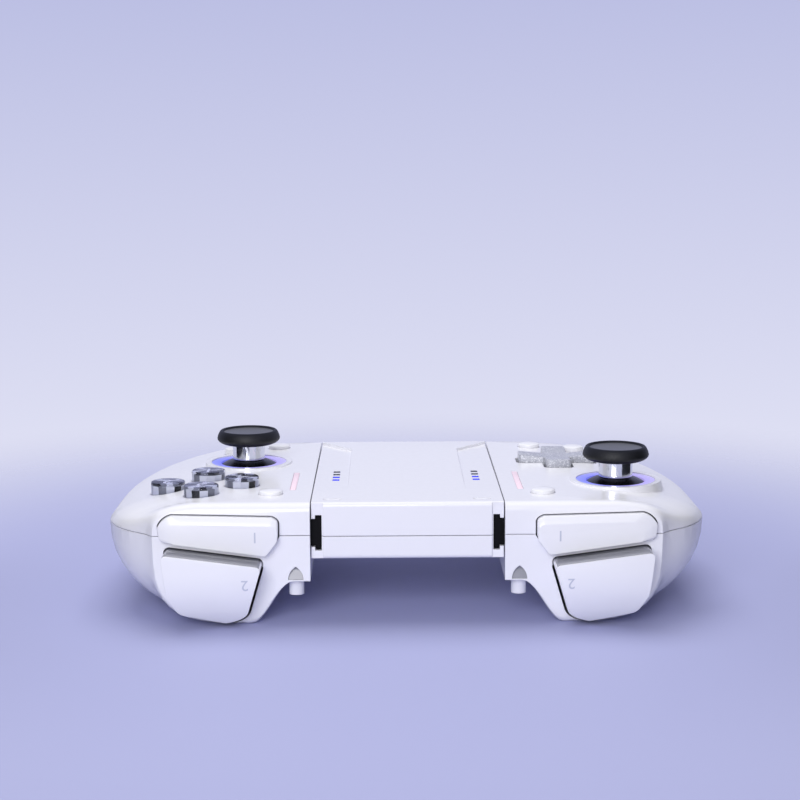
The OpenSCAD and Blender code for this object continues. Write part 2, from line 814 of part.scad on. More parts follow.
module rail(side) {
    color(black)
        place(side)
            difference() {
                translate([0, 0, rail_z]) {
                    block([-rail_neck_t, rail_start, -rail_neck_h / 2], [0, rail_end, rail_neck_h / 2]);
                    block([-rail_neck_t - rail_head_t, rail_start, -rail_h / 2],
                        [-rail_neck_t, rail_end, rail_h / 2]);
                }
                for (y = [rail_screw_near, rail_screw_far])
                    translate([0, y, rail_z + 1.7])
                        bar_x(-rail_neck_t - fit, past, screw_r + fit);
            }
}

module circuit_board(side) {
    step = board_wide - board_narrow;
    rear = half_l - board_rear_in;
    color(board_green)
        place(side) {
            difference() {
                translate([0, 0, board_bottom])
                    linear_extrude(board_t)
                        polygon([
                            [board_in, board_front],
                            [board_wide - step, board_front],
                            [board_wide, board_front + step],
                            [board_wide, board_bend],
                            [board_narrow, board_bend + step],
                            [board_narrow, rear - step],
                            [board_narrow - step, rear],
                            [board_in, rear]
                        ]);
                for (at = post_at)
                    bar_z(at, board_bottom - past, board_top + past, screw_r + fit);
            }
            for (at = round_at)
                translate([at[0], at[1], 0])
                    block([-switch_half, -switch_half, board_top], [switch_half, switch_half, switch_top]);
        }
}

module battery(side) {
    color(steel)
        place(side)
            translate([battery_u, battery_y, battery_low])
                linear_extrude(battery_h)
                    offset(1.5)
                        offset(-1.5)
                            square([battery_w, battery_l]);
}

// Puts a stick's own frame, with the pivot at its origin, into the pad's frame
module place_stick(side) {
    place(side)
        translate([stick_at[side][0], stick_at[side][1], pivot_z])
            children();
}

module stick_housing(side) {
    in_u = carriage_u + slide_clear;
    in_y = carriage_y + slide_clear;
    color(steel)
        place_stick(side)
            difference() {
                block([-in_u - housing_wall, -in_y - housing_wall, board_top - pivot_z],
                    [in_u + housing_wall, in_y + housing_wall, housing_top - pivot_z]);
                block([-in_u, -in_y, board_top + housing_floor - pivot_z], [in_u, in_y, past]);
            }
}

module stick_carriage(side) {
    color(black)
        place_stick(side)
            difference() {
                ring_frame(carriage_u, carriage_y, carriage_u - carriage_wall, carriage_u - carriage_wall,
                    carriage_half_h);
                bar_x(-carriage_u - past, carriage_u + past, stick_pin_r + pin_clear);
            }
}

module stick_yoke(side) {
    inner = yoke_half - yoke_wall;
    pin_end = carriage_u - 0.4;
    color(steel)
        place_stick(side)
            difference() {
                union() {
                    ring_frame(yoke_half, yoke_half, inner, inner, yoke_half_h);
                    for (turn = [0, 180])
                        rotate(turn)
                            bar_x(yoke_half - yoke_wall / 2, pin_end, stick_pin_r);
                }
                bar_y(-yoke_half - past, yoke_half + past, stick_pin_r + pin_clear);
            }
}

module stick_post(side) {
    shaft_r = 2;
    top = cap_bottom - pivot_z;
    color(black)
        place_stick(side) {
            difference() {
                sphere(dome_r, $fn = 96);
                sphere(dome_r - dome_t, $fn = 96);
                bar_z([0, 0], -dome_seat - past, dome_rim, dome_seat + past);
            }
            bar_z([0, 0], -shaft_r - 0.2, dome_r - dome_t / 2, shaft_r);
            bar_y(-yoke_half + 0.2, yoke_half - 0.2, stick_pin_r);
            bar_z([0, 0], dome_r - dome_t - 0.6, top, post_r);
            bar_z([0, 0], top - past, top + plug_h, plug_r);
        }
}

module stick_sleeve(side) {
    color(chrome)
        place_stick(side)
            difference() {
                bar_z([0, 0], dome_r - dome_t * 2, cap_bottom - pivot_z, sleeve_r);
                bar_z([0, 0], 0, cap_bottom, post_r + fit);
                sphere(dome_r + fit, $fn = 96);
            }
}

module stick_cap(side) {
    rim_r = cap_r - 1.4;
    edge = 2.1;
    steps = 8;
    color(black)
        place(side)
            translate([stick_at[side][0], stick_at[side][1], cap_bottom])
                rotate_extrude()
                    polygon(concat(
                        [[0, plug_h + fit], [plug_r + fit, plug_h + fit], [plug_r + fit, 0], [cap_r - edge, 0]],
                        [for (k = [1:steps]) let(a = 90 * k / steps)
                            [cap_r - edge + edge * sin(a), edge * (1 - cos(a))]],
                        [for (k = [0:steps]) let(a = 90 * k / steps)
                            [rim_r + (cap_r - rim_r) * cos(a), cap_t - 1.4 + 1.4 * sin(a)]],
                        [for (k = [1:steps]) let(t = k / steps)
                            [(rim_r - 0.8) * (1 - t), cap_t - cap_dish * smooth(t * 1.4)]]
                    ));
}

module ring_light(side) {
    color(lilac)
        place_stick(side)
            difference() {
                bar_z([0, 0], pivot_drop + fit - ring_t, pivot_drop + fit * 2, ring_r);
                sphere(dome_seat, $fn = 96);
            }
}

module light_bar(side) {
    lip = 0.35;
    color(rose)
        place(side) {
            block([bar_u - bar_w / 2, bar_start, roof - flange_t], [bar_u + bar_w / 2, bar_end, body_h + fit]);
            block([bar_u - bar_w / 2 - lip, bar_start - lip, roof - flange_t],
                [bar_u + bar_w / 2 + lip, bar_end + lip, roof]);
        }
}

module bumper(side) {
    lug_u = 1.9;
    lug_low = body_h - 10.7;
    lug_top = body_h - 5.2;
    color(shell_white)
        place(side) {
            prism_y(-bumper_reach, bumper_depth)
                bumper_outline();
            block([bumper_pin_u - lug_u, bumper_depth - past, lug_low],
                [bumper_pin_u + lug_u, bumper_pin_y, lug_top]);
            bar_z([bumper_pin_u, bumper_pin_y], lug_low, lug_top, lug_u);
            bar_z([bumper_pin_u, bumper_pin_y], lug_low, body_h - 2.5, pin_r);
        }
}

module trigger(side) {
    color(shell_white)
        place(side) {
            intersection() {
                prism_y(-trigger_reach - past, trigger_pivot_y + barrel_r)
                    trigger_outline();
                prism_x(0, half_w)
                    trigger_profile();
            }
            translate([0, trigger_pivot_y, trigger_pivot_z]) {
                bar_x(trigger_in + 1.4, trigger_out - 0.6, barrel_r);
                bar_x(inner_lug + 0.3, outer_lug + lug_t - 0.4, pin_r);
            }
        }
}

// A helix of round wire about the trigger's pivot
module trigger_spring(side) {
    sides = 6;
    per_turn = 12;
    pitch = spring_wire + 0.12;
    count = spring_turns * per_turn;
    start = inner_lug + lug_t + spring_wire / 2 + 0.1;
    points = [for (k = [0:count]) let(a = 360 * k / per_turn)
        for (s = [0:sides - 1]) let(b = 360 * s / sides, r = coil_r + spring_wire / 2 * cos(b))
            [start + pitch * k / per_turn + spring_wire / 2 * sin(b), r * cos(a), r * sin(a)]];
    last = count * sides;
    faces = concat(
        [for (s = [1:sides - 2]) [0, s + 1, s]],
        [for (s = [1:sides - 2]) [last, last + s, last + s + 1]],
        [for (k = [0:count - 1]) for (s = [0:sides - 1]) let(e = (s + 1) % sides)
            [k * sides + s, k * sides + e, (k + 1) * sides + e]],
        [for (k = [0:count - 1]) for (s = [0:sides - 1]) let(e = (s + 1) % sides)
            [k * sides + s, (k + 1) * sides + e, (k + 1) * sides + s]]
    );
    color(steel)
        place(side)
            translate([0, trigger_pivot_y, trigger_pivot_z])
                polyhedron(points, faces);
}

module release_button(side) {
    flange_low = inner_floor + wall + stop_gap;
    color(shell_white)
        place(side) {
            bar_z([release_u, release_y], inner_floor - release_drop, flange_low + 1, release_r);
            block([wall + 0.3, wall + 0.4, flange_low], [release_u + 2.2, release_y + 3.4, flange_low + 1.2]);
        }
}

module round_button(side, at) {
    color(shell_white)
        place(side) {
            bar_z(at, flange_top - flange_t, body_h + round_rise, round_r);
            bar_z(at, flange_top - flange_t, flange_top, round_flange_r);
            bar_z(at, switch_top + round_travel + stop_gap, flange_top, 1.5);
        }
}

module face_button(at) {
    color(crystal)
        place(right) {
            bar_z(at, flange_top - flange_t, crown_z(at[0], at[1]) + face_rise, face_r);
            bar_z(at, flange_top - flange_t, flange_top, face_flange_r);
        }
}

module face_button_membrane() {
    dome_top = flange_top - flange_t - face_travel - stop_gap;
    margin = 1;
    color(steel)
        place(right)
            for (at = face_at)
                translate([at[0], at[1], board_top]) {
                    cylinder(h = membrane_t, r = face_flange_r + margin);
                    cylinder(h = dome_top - board_top, r1 = face_r, r2 = face_r / 2);
                }
}

module back_button(side) {
    proud = 0.3;
    under = wall + 0.3;
    lip = 1.2;
    color(shell_white)
        place(side)
            difference() {
                union() {
                    intersection() {
                        half_form(proud, 8, 6);
                        back_opening(0, 0);
                    }
                    intersection() {
                        half_form(under, 8, 6);
                        back_opening(lip, 0);
                    }
                }
                half_form(under + 1, 8, 6);
            }
}

// Screws of a half: case screws from below, board screws from below and rail screws from inside
module half_screws(side) {
    color(steel)
        place(side) {
            for (k = [0:2])
                translate([case_at[k][0], case_at[k][1], case_head[k]]) {
                    bar_z([0, 0], -head_t, 0, head_r);
                    bar_z([0, 0], -head_t, seam_z + screw_grip - case_head[k], screw_r);
                }
            for (at = post_at) {
                bar_z(at, board_bottom - head_t, board_bottom, head_r);
                bar_z(at, board_bottom - head_t, board_top + screw_grip, screw_r);
            }
            for (y = [rail_screw_near, rail_screw_far])
                translate([0, y, rail_z + 1.7]) {
                    bar_x(wall, wall + head_t, head_r);
                    bar_x(-rail_neck_t, wall + head_t, screw_r);
                }
        }
}

// Puts the direction pad's own frame, with the pivot at its origin, into the pad's frame
module place_dpad() {
    place(left)
        translate([dpad_u, dpad_y, dpad_pivot_z])
            children();
}

module direction_pad() {
    color(pearl)
        place_dpad() {
            translate([0, 0, dpad_bottom - dpad_pivot_z])
                linear_extrude(body_h + dpad_rise - dpad_bottom)
                    cross_outline(0);
            bar_z([0, 0], -1.6, dpad_bottom - dpad_pivot_z + past, hub_r);
            bar_y(-gimbal_half + 0.2, gimbal_half - 0.2, stick_pin_r);
        }
}

module direction_pad_gimbal() {
    color(steel)
        place_dpad()
            difference() {
                union() {
                    ring_frame(gimbal_half, gimbal_half, gimbal_inner, gimbal_inner, gimbal_half_h);
                    for (turn = [0, 180])
                        rotate(turn)
                            bar_x(gimbal_inner + 0.5, upright_out - 0.1, stick_pin_r);
                }
                bar_y(-gimbal_half - past, gimbal_half + past, stick_pin_r + pin_clear);
            }
}

module direction_pad_base() {
    plate_t = 1.2;
    low = board_top - dpad_pivot_z;
    color(black)
        place_dpad()
            difference() {
                union() {
                    block([-9, -6, low], [9, 6, low + plate_t]);
                    for (turn = [0, 180])
                        rotate(turn)
                            block([upright_in, -2.4, low], [upright_out, 2.4, 1.5]);
                }
                bar_x(-upright_out - past, upright_out + past, stick_pin_r + pin_clear);
            }
}

// Bridge outline in (y, z) with rounded ends
module bridge_profile() {
    translate([bridge_front, bridge_bottom])
        offset(bridge_edge)
            offset(-bridge_edge)
                square([bridge_back - bridge_front, bridge_h]);
}

// The bridge's solid body with its rail channels and windows cut
module bridge_body() {
    head_room = rail_h / 2 + rail_clear;
    slot_room = rail_neck_h / 2 + rail_clear + fit;
    difference() {
        prism_x(-hook_out, hook_out)
            bridge_profile();
        for (side = [left, right])
            mirror([side, 0, 0])
                translate([0, 0, rail_z]) {
                    block([web_out, -past, -head_room], [hook_in, channel_end, head_room]);
                    block([hook_in - past, -past, -slot_room], [bridge_half, channel_end, slot_room]);
                    translate([0, contact_y, 0])
                        block([web_in - past, -contact_l / 2 - fit, -contact_h / 2 - fit],
                            [web_out + past, contact_l / 2 + fit, contact_h / 2 + fit]);
                }
        translate([0, bridge_back, socket_z])
            bar_socket(socket_w / 2 + 0.1, socket_h / 2 + 0.1, -bridge_wall - past, past);
    }
}

// A bar with half-round sides along Y, as the charging socket has
module bar_socket(half_width, half_height, y0, y1) {
    for (side = [-1, 1])
        translate([side * (half_width - half_height), 0, 0])
            bar_y(y0, y1, half_height);
    block([half_height - half_width, y0, -half_height], [half_width - half_height, y1, half_height]);
}

// The hollow inside the bridge
module bridge_hollow() {
    block([-web_in, bridge_front + bridge_wall, bridge_bottom + bridge_wall],
        [web_in, bridge_back - bridge_wall, body_h - bridge_wall]);
}

module bridge_top_cover() {
    color(shell_white)
        place_bridge()
            difference() {
                intersection() {
                    bridge_body();
                    block([-bridge_half, 0, bridge_seam + seam_gap / 2], [bridge_half, half_l, body_h + past]);
                }
                difference() {
                    bridge_hollow();
                    for (at = bridge_screw_at)
                        bar_z(at, bridge_board_top, body_h, boss_r);
                }
                for (at = bridge_screw_at)
                    bar_z(at, bridge_bottom, bridge_board_top + screw_grip + fit, screw_r + fit);
                for (side = [-1, 1])
                    for (y = indicator_y)
                        translate([side * indicator_x, y, body_h])
                            cube([indicator_w + fit * 2, indicator_l + fit * 2, bridge_wall * 4], center = true);
            }
}

module bridge_bottom_cover() {
    color(shell_white)
        place_bridge()
            difference() {
                intersection() {
                    bridge_body();
                    block([-bridge_half, 0, 0], [bridge_half, half_l, bridge_seam - seam_gap / 2]);
                }
                difference() {
                    bridge_hollow();
                    for (at = bridge_screw_at)
                        bar_z(at, bridge_bottom, bridge_board_z, boss_r);
                }
                for (at = bridge_screw_at) {
                    bar_z(at, bridge_bottom - past, bridge_bottom + head_t, head_r + fit);
                    bar_z(at, bridge_bottom, bridge_board_z + past, screw_r + fit);
                }
            }
}

module bridge_circuit_board() {
    edge_x = bridge_screw_x + 3.5;
    ends = bridge_wall + 2;
    color(board_green)
        place_bridge()
            difference() {
                block([-edge_x, bridge_front + ends, bridge_board_z],
                    [edge_x, bridge_back - ends, bridge_board_top]);
                for (at = bridge_screw_at)
                    bar_z(at, bridge_board_z - past, bridge_board_top + past, screw_r + fit);
            }
}

module bridge_charging_socket() {
    metal = 0.3;
    tongue = 0.35;
    color(chrome)
        place_bridge()
            translate([0, bridge_back - 0.3, socket_z]) {
                difference() {
                    bar_socket(socket_w / 2, socket_h / 2, -socket_l, 0);
                    bar_socket(socket_w / 2 - metal, socket_h / 2 - metal, -socket_l + 1, past);
                }
                block([-3.3, -socket_l + 0.5, -tongue], [3.3, -0.8, tongue]);
            }
}

module bridge_indicator_windows() {
    lip = 0.4;
    color(lilac)
        place_bridge()
            for (side = [-1, 1])
                translate([side * indicator_x, 0, body_h]) {
                    for (y = indicator_y)
                        block([-indicator_w / 2, y - indicator_l / 2, -bridge_wall - past / 2],
                            [indicator_w / 2, y + indicator_l / 2, 0]);
                    block([-indicator_w / 2, indicator_y[0] - indicator_l / 2 - lip, -bridge_wall - past],
                        [indicator_w / 2, indicator_y[3] + indicator_l / 2 + lip, -bridge_wall]);
                }
}

module bridge_contacts(side) {
    shoulder = 1.2;
    pins = 5;
    pin_step = contact_l / (pins + 1);
    color(copper)
        place_bridge()
            mirror([side, 0, 0])
                translate([0, contact_y, rail_z]) {
                    block([web_in, -contact_l / 2, -contact_h / 2], [web_out - fit, contact_l / 2, contact_h / 2]);
                    block([web_in - shoulder, -contact_l / 2 - shoulder, -contact_h / 2 - shoulder],
                        [web_in, contact_l / 2 + shoulder, contact_h / 2 + shoulder]);
                    for (k = [1:pins])
                        translate([0, k * pin_step - contact_l / 2, 0])
                            bar_x(web_out - past, web_out + rail_clear / 2, 0.5);
                }
}

module bridge_screws() {
    color(steel)
        place_bridge()
            for (at = bridge_screw_at) {
                bar_z(at, bridge_bottom, bridge_bottom + head_t, head_r);
                bar_z(at, bridge_bottom, bridge_board_top + screw_grip, screw_r);
            }
}

bridge_top_cover();
bridge_bottom_cover();
bridge_circuit_board();
bridge_charging_socket();
bridge_indicator_windows();
bridge_contacts(left);  // bridge_left_contacts
bridge_contacts(right);  // bridge_right_contacts
bridge_screws();
top_shell(left);  // left_top_shell
bottom_shell(left);  // left_bottom_shell
rail(left);  // left_rail
circuit_board(left);  // left_circuit_board
battery(left);  // left_battery
stick_housing(left);  // left_stick_housing
stick_carriage(left);  // left_stick_carriage
stick_yoke(left);  // left_stick_yoke
stick_post(left);  // left_stick_post
stick_sleeve(left);  // left_stick_sleeve
stick_cap(left);  // left_stick_cap
ring_light(left);  // left_ring_light
light_bar(left);  // left_light_bar
bumper(left);  // left_bumper
trigger(left);  // left_trigger
trigger_spring(left);  // left_trigger_spring
release_button(left);  // left_release_button
round_button(left, round_at[0]);  // left_front_button
round_button(left, round_at[1]);  // left_rear_inner_button
round_button(left, round_at[2]);  // left_rear_outer_button
back_button(left);  // left_back_button
half_screws(left);  // left_screws
direction_pad();
direction_pad_gimbal();
direction_pad_base();
top_shell(right);  // right_top_shell
bottom_shell(right);  // right_bottom_shell
rail(right);  // right_rail
circuit_board(right);  // right_circuit_board
battery(right);  // right_battery
stick_housing(right);  // right_stick_housing
stick_carriage(right);  // right_stick_carriage
stick_yoke(right);  // right_stick_yoke
stick_post(right);  // right_stick_post
stick_sleeve(right);  // right_stick_sleeve
stick_cap(right);  // right_stick_cap
ring_light(right);  // right_ring_light
light_bar(right);  // right_light_bar
bumper(right);  // right_bumper
trigger(right);  // right_trigger
trigger_spring(right);  // right_trigger_spring
release_button(right);  // right_release_button
round_button(right, round_at[0]);  // right_front_button
round_button(right, round_at[1]);  // right_rear_inner_button
round_button(right, round_at[2]);  // right_rear_outer_button
back_button(right);  // right_back_button
half_screws(right);  // right_screws
face_button(face_at[0]);  // rear_face_button
face_button(face_at[1]);  // outer_face_button
face_button(face_at[2]);  // front_face_button
face_button(face_at[3]);  // inner_face_button
face_button_membrane();
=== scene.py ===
"""Looks of a split gamepad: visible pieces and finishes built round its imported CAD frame."""

import json
import math

import bpy
from bpy.props import FloatProperty, FloatVectorProperty, IntProperty, PointerProperty
from mathutils import Matrix, Vector


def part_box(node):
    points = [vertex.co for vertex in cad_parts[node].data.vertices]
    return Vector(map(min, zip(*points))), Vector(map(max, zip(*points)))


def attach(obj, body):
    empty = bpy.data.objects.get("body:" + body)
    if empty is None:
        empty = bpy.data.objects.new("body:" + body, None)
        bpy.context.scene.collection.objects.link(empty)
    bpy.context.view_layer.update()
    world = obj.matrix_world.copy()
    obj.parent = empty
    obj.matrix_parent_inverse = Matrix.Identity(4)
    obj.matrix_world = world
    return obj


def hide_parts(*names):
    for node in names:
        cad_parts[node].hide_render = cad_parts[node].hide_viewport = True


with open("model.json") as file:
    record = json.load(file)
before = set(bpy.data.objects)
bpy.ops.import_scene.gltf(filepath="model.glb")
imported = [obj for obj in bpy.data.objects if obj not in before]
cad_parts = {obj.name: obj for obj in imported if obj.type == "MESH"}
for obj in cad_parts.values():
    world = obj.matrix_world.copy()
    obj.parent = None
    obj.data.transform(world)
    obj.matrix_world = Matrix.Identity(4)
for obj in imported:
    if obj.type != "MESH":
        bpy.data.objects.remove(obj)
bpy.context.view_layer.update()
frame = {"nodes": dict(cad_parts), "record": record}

bl_info = {
    "name": "Split gamepad looks",
    "version": (1, 0, 0),
    "blender": (4, 5, 0),
    "location": "View3D > Sidebar > Gamepad",
    "description": "Dresses a split gamepad with its visible pieces and finishes",
    "category": "Object",
}

MM = 0.001
TINY = 0.01 * MM
MERGE = 0.002 * MM
SIDES = ("left", "right")

# The bridge's side panels and short slots
PANEL_FRONT = 17.5 * MM
PANEL_REAR = 2.4 * MM
PANEL_NOTCH = 2.4 * MM
PANEL_BEND_FRONT = 20 * MM
PANEL_BEND_REAR = 15 * MM
SLOT_X = 21.7 * MM
SLOT_Y = 5 * MM
SLOT_L = 5 * MM

# The recess above a release pin, whose faces get a grey of painted shade: its reach from the
# shoulder, half width and height over the pin
RECESS_NEAR = 0.02 * MM
RECESS_FAR = 1.5 * MM
RECESS_HALF = 2.6 * MM
RECESS_RISE = 4 * MM

# Share of the bumper's face that keeps its place when the crown is drawn in
CROWN_KEEP = 0.05

# Turned pieces, in millimetres, and shares of the stick cap's radius and height
FLANGE_W = 1.1
FLANGE_T = 1
STEM_R = 1.5
SHAFT_H = 6.7
BUTTON_RIM = 0.3
KEY_RIM = 0.35
CAP_BELLY = 0.51
CAP_LIFT = 0.09
CAP_RIM = 0.79
CAP_EDGE = ((0.978, 0.68), (0.937, 0.86), (0.908, 0.95), (0.88, 0.993), (0.85, 1), (0.825, 0.985),
            (0.808, 0.93))
SLEEVE_T = 0.95
SLEEVE_EDGE = 0.15
SLEEVE_TUCK = 0.2
SKIRT_RISE = 3.0
SKIRT_BASE = 0.7 * MM
SKIRT_IN = 4.3 * MM
SKIRT_OUT = 9.4 * MM

# The facets inside a clear button, measured in millimetres from its shaft and its top
FACETS = 12
GEM_FOOT = 2.2
GEM_WALL = 0.6
GEM_WAIST = 2.3
GEM_LIP = 0.4
GEM_GIRDLE = 0.95
GEM_TABLE = 0.5
GEM_TABLE_SHARE = 0.35
CROWN_FROM = 0.9
KEY_TURN = 0.2
KEY_MARK_DEPTH = 0.42
# Tone of each sector's facet in the crown and the drum, 0 pale, 1 grey, 2 dark: painted reflection,
# the pattern of dark and bright that mirror facets would show
CROWN_REFLECTION_TONES = (2, 1, 0, 1, 2, 1, 0, 2, 1, 0, 2, 1)
DRUM_REFLECTION_TONES = (0, 1, 0, 2, 0, 1, 0, 0, 2, 0, 1, 0)

# The direction pad
ARM_HALF = 3.85 * MM
ARM_ROUND = 1.0 * MM
PAD_SINK = 3.5 * MM
FOOT_INSET = 1.4 * MM

# Numerals: piece, numeral, skin it lies on, and its place from the inner edge and the top
MARKS = (("bumper", "1", "crowned", 15.6, 9.0), ("trigger", "2", "rounded", 18.2, 21.4))
MARK_START = 2 * MM
MARK_LIFT = 0.03 * MM
MARK_T = 0.05 * MM
TEXT_SCALE = 1.4

# The stage, in metres, and the photograph's camera
FLOOR_R = 2.0
FADE_FROM = 0.12
FADE_TO = 0.34
CARD_PLACE = (0.165, -0.06, 0.06)
CARD_SIZE = (0.12, 0.18, 1)
AIM = (0, 0, 0.02)
LENS = 79.9
SENSOR = 36
CAMERA_PLACE = (-6.08 * MM, 497.0 * MM, 107.08 * MM)
CAMERA_TURN = (0.468, 8.829, 0.255)

RECORD = frame["record"]
NODE_BODY = {node: body for body, nodes in RECORD["behaviour"]["bodies"].items() for node in nodes}
NODE_SLOT = {part["node"]: part["material_slot"] for part in RECORD["subparts"]}
TOP_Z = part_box("bridge_top_cover")[1].z
SHOULDER_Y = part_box("left_top_shell")[0].y


def hex_colour(code):
    """Turn an sRGB hex code into linear RGBA."""
    channels = [int(code[i:i + 2], 16) / 255 for i in (1, 3, 5)]
    return (*(c / 12.92 if c <= 0.04045 else ((c + 0.055) / 1.055) ** 2.4 for c in channels), 1.0)


def colour(name, description, code):
    """A colour that a user may change, given as an sRGB hex code."""
    return FloatVectorProperty(name=name, description=description, subtype="COLOR", size=4,
                               min=0, max=1, default=hex_colour(code))


def length(name, description, millimetres):
    """A length that a user may change, given in millimetres."""
    return FloatProperty(name=name, description=description, unit="LENGTH", precision=5,
                         default=millimetres * MM)


class PadSizes(bpy.types.PropertyGroup):
    """Sizes of what the looks add to the CAD pieces."""

    edge_round: length("Edge rounding", "Rounded look of the shells' edges", 0.3)
    seam_round: length("Button rounding", "Rounding of the bumpers' and small pieces' edges", 0.4)
    trigger_round: length("Trigger rounding", "Rounding of the triggers' edges", 0.7)
    crown_depth: length("Bumper crown", "How far the bumper's face stands out of its band", 1.0)
    crown_top: length("Bumper band", "Height of the sloping band above the bumper's face", 2.3)
    crown_end: length("Bumper end band", "Width of the sloping band at the bumper's outer end", 3.8)
    button_dome: length("Button dome", "Rise of a round button's top", 0.35)
    groove_w: length("Groove width", "Width of the short slots on the bridge", 1.6)
    panel_depth: length("Panel depth", "How far the bridge's side panels lie below its top", 0.8)
    lip_in: length("Lip place", "Distance of the rail lips from the bridge's side", 3.4)
    lip_back: length("Lip step", "How far the rail lips stand back from the bridge's front", 0.6)
    panel_half: length("Panel half width", "Distance of the side panels from the middle", 17.5)
    dish_depth: length("Direction pad dish", "How far the pad's middle lies below its arms", 0.8)
    skirt_flat: FloatProperty(name="Skirt flatness", default=0.62, min=0.3, max=1,
                              description="Height of the skirt's cone, as a share of the dome")
    mark_h: length("Mark height", "Height of the numerals on the bumpers and triggers", 3.2)
    key_mark_h: length("Key mark height", "Height of the numerals in the clear buttons", 5.6)
    rings: IntProperty(name="Round steps", default=96, min=24,
                       description="Sides of a turned piece")


class PadColours(bpy.types.PropertyGroup):
    """Colours of the finishes."""

    shell: colour("Shell", "Moulded shells", "#EEEEF5")
    keys: colour("Keys", "White bumpers, triggers and buttons", "#EFEFF5")
    rubber: colour("Rubber", "Stick cap's side", "#0A0B0C")
    # The dish's grey is partly its own and partly painted reflection: it is lightened in place of
    # the lamp above, which glossy rays don't see
    dish: colour("Dish", "Stick cap's dish", "#56575B")
    skirt: colour("Skirt", "Dome under the stick", "#060607")
    chrome: colour("Chrome", "Stick sleeve", "#DADCE4")
    ring_cool: colour("Ring, cool", "Cool side of the light ring", "#3F5CFF")
    ring_warm: colour("Ring, warm", "Warm side of the light ring", "#B4A6FA")
    bar: colour("Light bar", "Light bar beside the inner edge", "#F5DDE9")
    lit: colour("Lit window", "Indicator window that is on", "#1A2BD0")
    unlit: colour("Dark window", "Indicator window that is off", "#2E3036")
    pearl: colour("Pearl", "Direction pad", "#ACAEB8")
    # The facet tones are painted reflection: dark, grey and pale facets stand in for what the
    # mirror facets reflect
    facet_dark: colour("Dark facet", "Dark facets inside the clear buttons", "#1B1C20")
    facet_mid: colour("Grey facet", "Grey facets inside the clear buttons", "#8C8E96")
    facet_pale: colour("Pale facet", "Pale facets inside the clear buttons", "#F2F3F8")
    # Painted shade: the grey put on the trigger tops under the bumpers and in the recesses above
    # the release pins
    ledge: colour("Ledge", "Top ledge of the triggers", "#8E8F98")
    rail: colour("Rail", "Slide rail", "#040405")
    mark: colour("Mark", "Numerals on the bumpers and triggers", "#C2C5D6")
    floor: colour("Floor", "Floor", "#AFB2DA")
    haze: colour("Haze", "Backdrop at the floor's far edge", "#E3E4F6")
    sky: colour("Sky", "Backdrop above", "#B4B8E0")
    lamp_room: colour("Studio", "Walls that light the pad", "#F3F3F8")
    flag: colour("Flag", "Dark cards beside the pad", "#17181B")


def select_only(piece):
    """Make one object the only selected one, and the active one."""
    bpy.ops.object.select_all(action="DESELECT")
    piece.select_set(True)
    bpy.context.view_layer.objects.active = piece


def edit(piece, pick):
    """Enter edit mode with the faces that the test picks selected."""
    select_only(piece)
    bpy.context.tool_settings.mesh_select_mode = (False, False, True)
    bpy.ops.object.mode_set(mode="EDIT")
    bpy.ops.mesh.select_all(action="DESELECT")
    bpy.ops.object.mode_set(mode="OBJECT")
    for face in piece.data.polygons:
        face.select = pick(face)
    bpy.ops.object.mode_set(mode="EDIT")


def leave_edit():
    """Return to object mode."""
    bpy.ops.object.mode_set(mode="OBJECT")


def apply_modifier(piece, kind, **settings):
    """Add a modifier with its settings and apply it."""
    select_only(piece)
    modifier = piece.modifiers.new(kind.lower(), kind)
    for name, value in settings.items():
        setattr(modifier, name, value)
    bpy.ops.object.modifier_apply(modifier=modifier.name)


def round_edges(piece, width, angle=35, steps=3):
    """Bevel the edges that are sharper than an angle."""
    apply_modifier(piece, "BEVEL", width=width, segments=steps, limit_method="ANGLE",
                   angle_limit=math.radians(angle), use_clamp_overlap=True)


def cad_copy(node, name, flatten=False):
    """Copy a CAD node's mesh into a new piece and merge its loose triangles."""
    bpy.ops.object.select_all(action="DESELECT")
    piece = bpy.data.objects.new(name, frame["nodes"][node].data.copy())
    bpy.context.scene.collection.objects.link(piece)
    select_only(piece)
    bpy.ops.mesh.customdata_custom_splitnormals_clear()
    edit(piece, lambda face: True)
    bpy.ops.mesh.remove_doubles(threshold=MERGE)
    if flatten:
        bpy.ops.mesh.dissolve_limited(angle_limit=math.radians(0.5))
    leave_edit()
    return piece


def turned(name, centre, profile, steps, hollow=False):
    """Build a turned piece from rings of (radius, height) in millimetres, stacked on a circle."""
    place = Vector(centre)
    radius, height = profile[0]
    bpy.ops.object.select_all(action="DESELECT")
    bpy.ops.mesh.primitive_circle_add(vertices=steps, radius=radius * MM, location=place,
                                      fill_type="NOTHING" if hollow else "NGON")
    piece = bpy.context.active_object
    piece.name = name
    bpy.ops.object.mode_set(mode="EDIT")
    bpy.ops.mesh.select_all(action="SELECT")
    bpy.ops.transform.translate(value=(0, 0, height * MM))
    for next_radius, next_height in profile[1:]:
        grow = max(next_radius, 0.0001) / radius
        if hollow:
            bpy.ops.mesh.extrude_edges_move()
        else:
            bpy.ops.mesh.extrude_region_move()
        bpy.ops.transform.resize(value=(grow, grow, 1), center_override=place)
        bpy.ops.transform.translate(value=(0, 0, (next_height - height) * MM))
        radius, height = max(next_radius, 0.0001), next_height
    bpy.ops.mesh.select_all(action="SELECT")
    bpy.ops.mesh.remove_doubles(threshold=MERGE)
    bpy.ops.mesh.normals_make_consistent(inside=False)
    leave_edit()
    bpy.ops.object.transform_apply(location=True, rotation=True, scale=True)
    return piece


def arc(centre_r, centre_z, radius, start, end, steps=5):
    """Points of a profile along an arc, with the angles in degrees from the radius upwards."""
    turns = [math.radians(start + (end - start) * k / steps) for k in range(steps + 1)]
    return [(centre_r + radius * math.cos(t), centre_z + radius * math.sin(t)) for t in turns]


def middle(node):
    """Centre of a node's box in the plane, and its lowest and highest point."""
    low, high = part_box(node)
    return (low.x + high.x) / 2, (low.y + high.y) / 2, low.z, high.z


